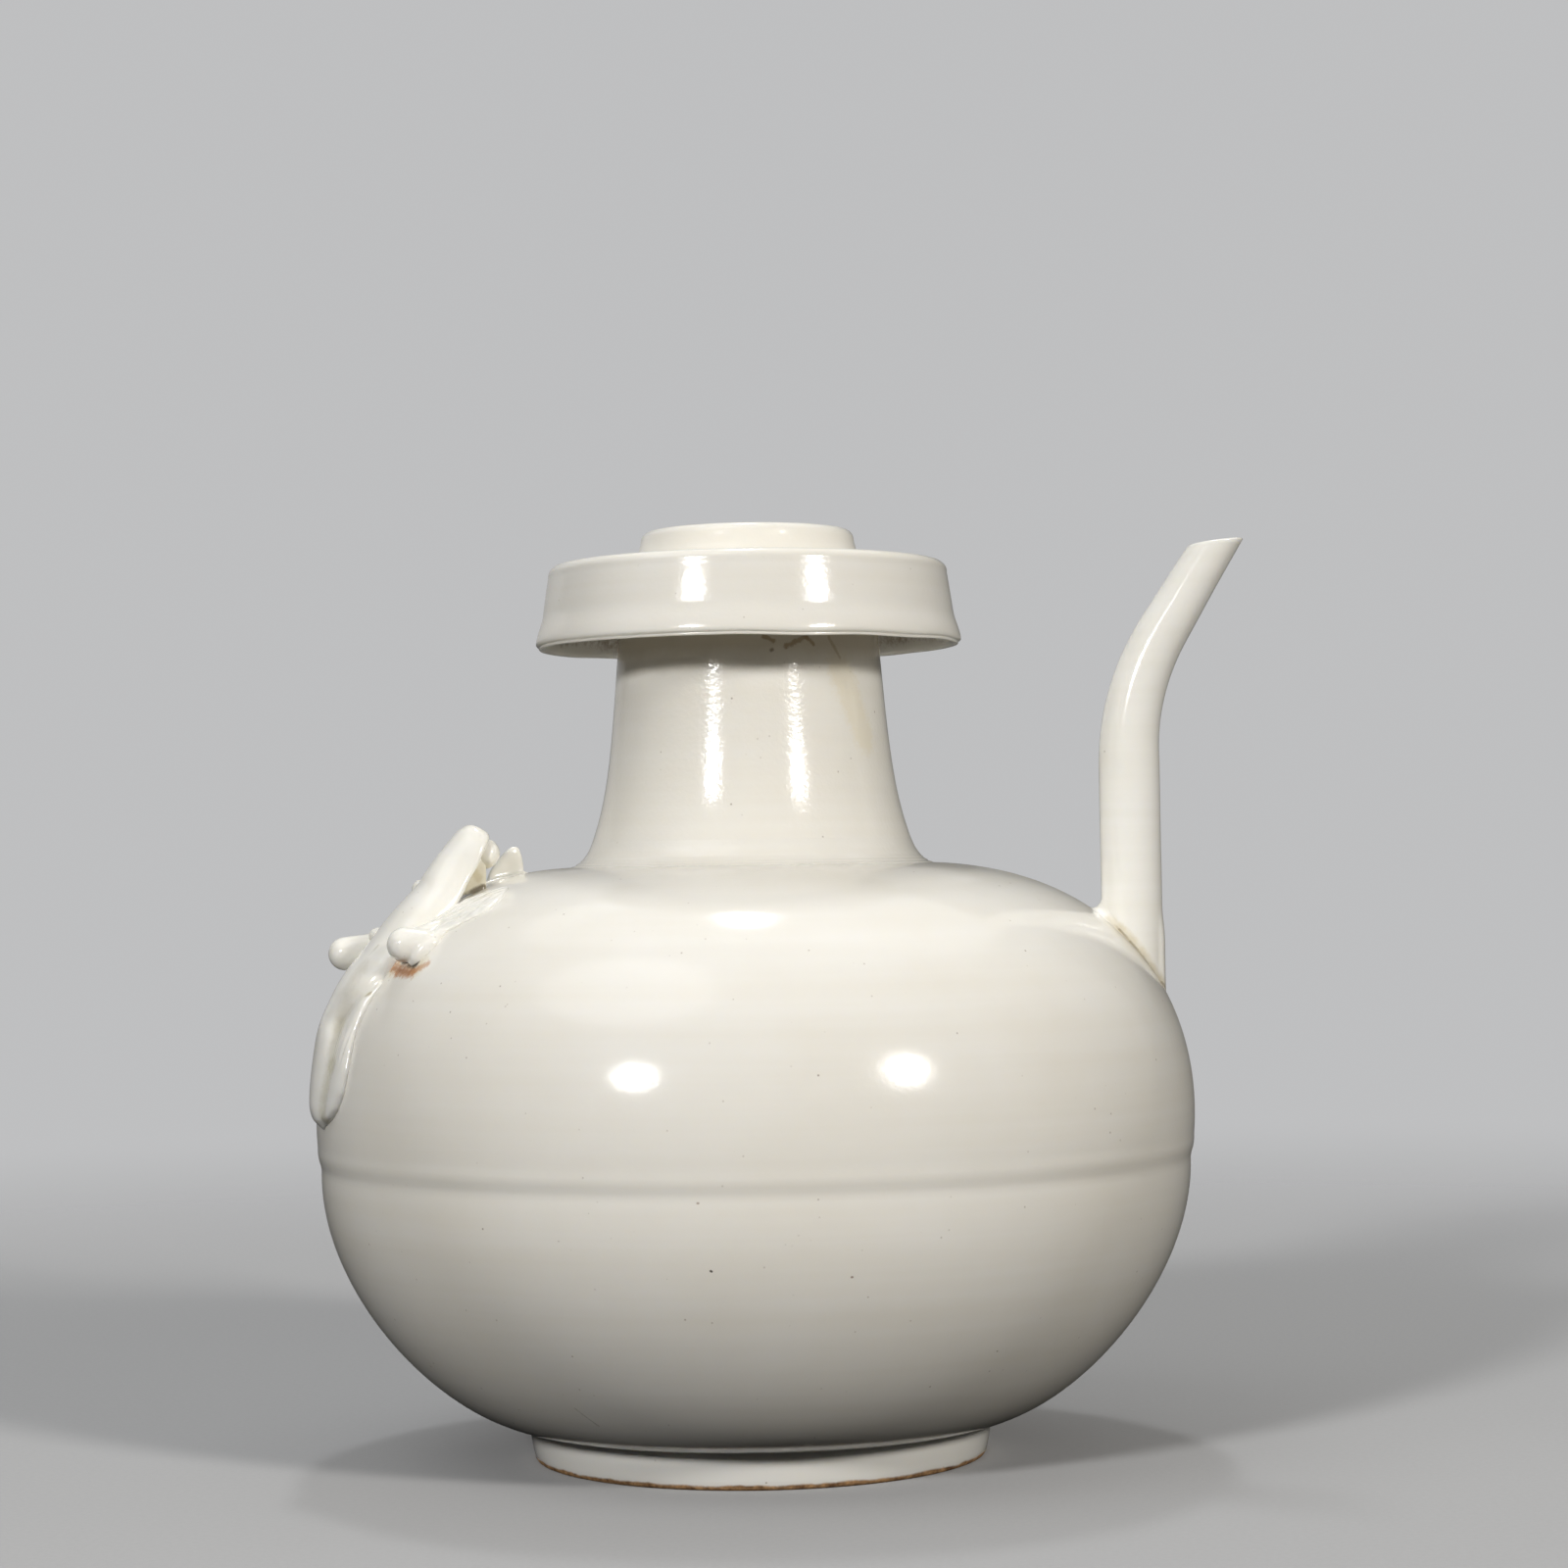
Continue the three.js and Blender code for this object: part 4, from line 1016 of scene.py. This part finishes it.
def pressed_leaf(spine, rim):
    """A leaf pressed on the shoulder. The spine holds rows of (distance, far side, near side, thickness)."""
    rings = []
    for out, far, near, thick in eased(spine, 6):
        ring = []
        for k in range(44):
            turn = math.tau * k / 44
            across = squared(math.cos(turn), 0.6)
            lip = 1.0 + rim * math.exp(-(((abs(across) - 0.86) / 0.16) ** 2)) - rim * 0.4
            full = thick * lip * squared(math.sin(turn), 0.55)
            lift = full if math.sin(turn) > 0 else LET_IN * math.sin(turn)
            ring.append(on_shoulder(out, (far + near) / 2 + (near - far) / 2 * across, lift))
        rings.append(ring)
    return lofted(rings, True, True)


near_spine = (
    (76.2, 13.0, 17.6, 0.6),
    (75.2, 11.0, 19.0, 1.7),
    (73.4, 9.6, 19.9, 2.2),
    (71.6, 9.0, 20.1, 1.8),
    (69.6, 8.8, 19.0, 1.25),
    (67.8, 8.6, 20.0, 1.0),
    (66.4, 8.2, 20.9, 0.85),
    (65.4, 7.8, 21.5, 0.8),
    (63.4, 8.0, 22.6, 0.8),
    (61.6, 8.9, 22.4, 0.8),
    (59.6, 10.0, 21.0, 0.8),
    (57.6, 11.2, 18.4, 0.75),
    (56.2, 12.0, 15.4, 0.6),
    (55.4, 13.0, 14.0, 0.25),
)
near_leaf = kneaded(
    [
        thumb((76.8, 15.0, 104.8), (73.2, 16.8, 104.8), 3.4, 2.9),
        thumb((74.8, 15.6, 105.6), (69.0, 13.5, 108.4), 2.4, 1.2),
        pressed_leaf(near_spine, 0.2),
    ],
    grain=0.0002,
    rubs=7,
)
# Fingers left low ridges along its blade.
FINGER_DEPTH = 0.00018
near_leaf.normal_update()
for vert in near_leaf.verts:
    place = (vert.co - Vector((AXIS_X, 0.0, 0.0))) * 1000.0
    out, side = place.dot(LOOP_OUT), place.dot(LOOP_SIDE)
    pinch = noise.noise(Vector((out * 0.22, side * 0.9, place.z * 0.9)))
    vert.co += vert.normal * pinch * FINGER_DEPTH * (1.0 - 0.7 * soft_step(out, 71.5, 74.5))
glazed_piece("near_leaf", near_leaf, loop_glaze, ("side_leaf_near",))

far_spine = (
    (79.0, -17.0, -9.0, 1.2),
    (74.0, -18.5, -7.0, 1.6),
    (68.0, -19.0, -6.5, 1.0),
    (62.0, -18.0, -6.5, 0.6),
    (56.0, -16.5, -7.5, 0.45),
    (50.0, -14.5, -8.5, 0.4),
    (46.0, -13.0, -9.5, 0.35),
    (44.2, -12.0, -10.4, 0.2),
)
# The fin by height: its two ends along the loop, and half its thickness.
FIN_ROWS = (
    (113.6, 53.4, 44.6, 1.7),
    (116.5, 53.0, 44.9, 1.6),
    (118.3, 52.5, 45.2, 1.4),
    (120.0, 51.4, 45.4, 1.2),
    (121.5, 50.2, 45.6, 1.1),
    (122.4, 49.3, 45.9, 1.0),
    (123.1, 48.5, 46.2, 0.85),
    (123.6, 47.7, 46.7, 0.6),
)


def fin_rings():
    """The fin: a small plate pinched up out of the leaf, hollowed a little on the near side."""
    rings = []
    for height, first, last, thick in eased(FIN_ROWS, 3):
        ring = []
        for k in range(36):
            turn = math.tau * k / 36
            along = squared(math.cos(turn), 0.7)
            hollow = 0.7 * (1 - along * along) * (1 - soft_step(height, 118.0, 123.0))
            side = -10.8 + thick * squared(math.sin(turn), 0.7) - hollow
            ring.append(loop_point((first + last) / 2 + (first - last) / 2 * along, side, height))
        rings.append(ring)
    return rings


far_leaf = kneaded(
    [
        thumb((81.3, -15.0, 102.7), (74.0, -12.5, 104.0), 3.35, 3.0),
        pressed_leaf(far_spine, 0.3),
        lofted(fin_rings(), True, True),
    ],
    grain=0.0002,
    rubs=5,
)
glazed_piece("far_leaf", far_leaf, loop_glaze, ("side_leaf_far",))


# The pellets: three little lumps of clay pressed on beside the strap, one on the shoulder below,
# one higher up, and one that sticks out like an ear from the mouth of the fold.
def pellet(middle, size):
    """A ball of clay, flattened a little where it was pressed on."""
    bm = bmesh.new()
    bmesh.ops.create_icosphere(bm, subdivisions=5, radius=1.0)
    for vert in bm.verts:
        soft = 1.0 + 0.06 * noise.noise(vert.co * 1.4 + Vector(middle))
        vert.co = loop_point(*(Vector(middle) + Vector([c * s * soft for c, s in zip(vert.co, size)])))
    return bm


for name, replaced, middle, size in (
    ("low_pellet", "pellet_low", (76.3, -7.5, 106.2), (1.9, 1.9, 1.7)),
    ("high_pellet", "pellet_high", (67.7, -6.5, 115.5), (1.9, 1.8, 1.8)),
    ("fold_pellet", "pellet_fold", (56.5, 2.0, 122.2), (2.45, 3.2, 2.9)),
):
    glazed_piece(name, pellet(middle, size), loop_glaze, (replaced,))
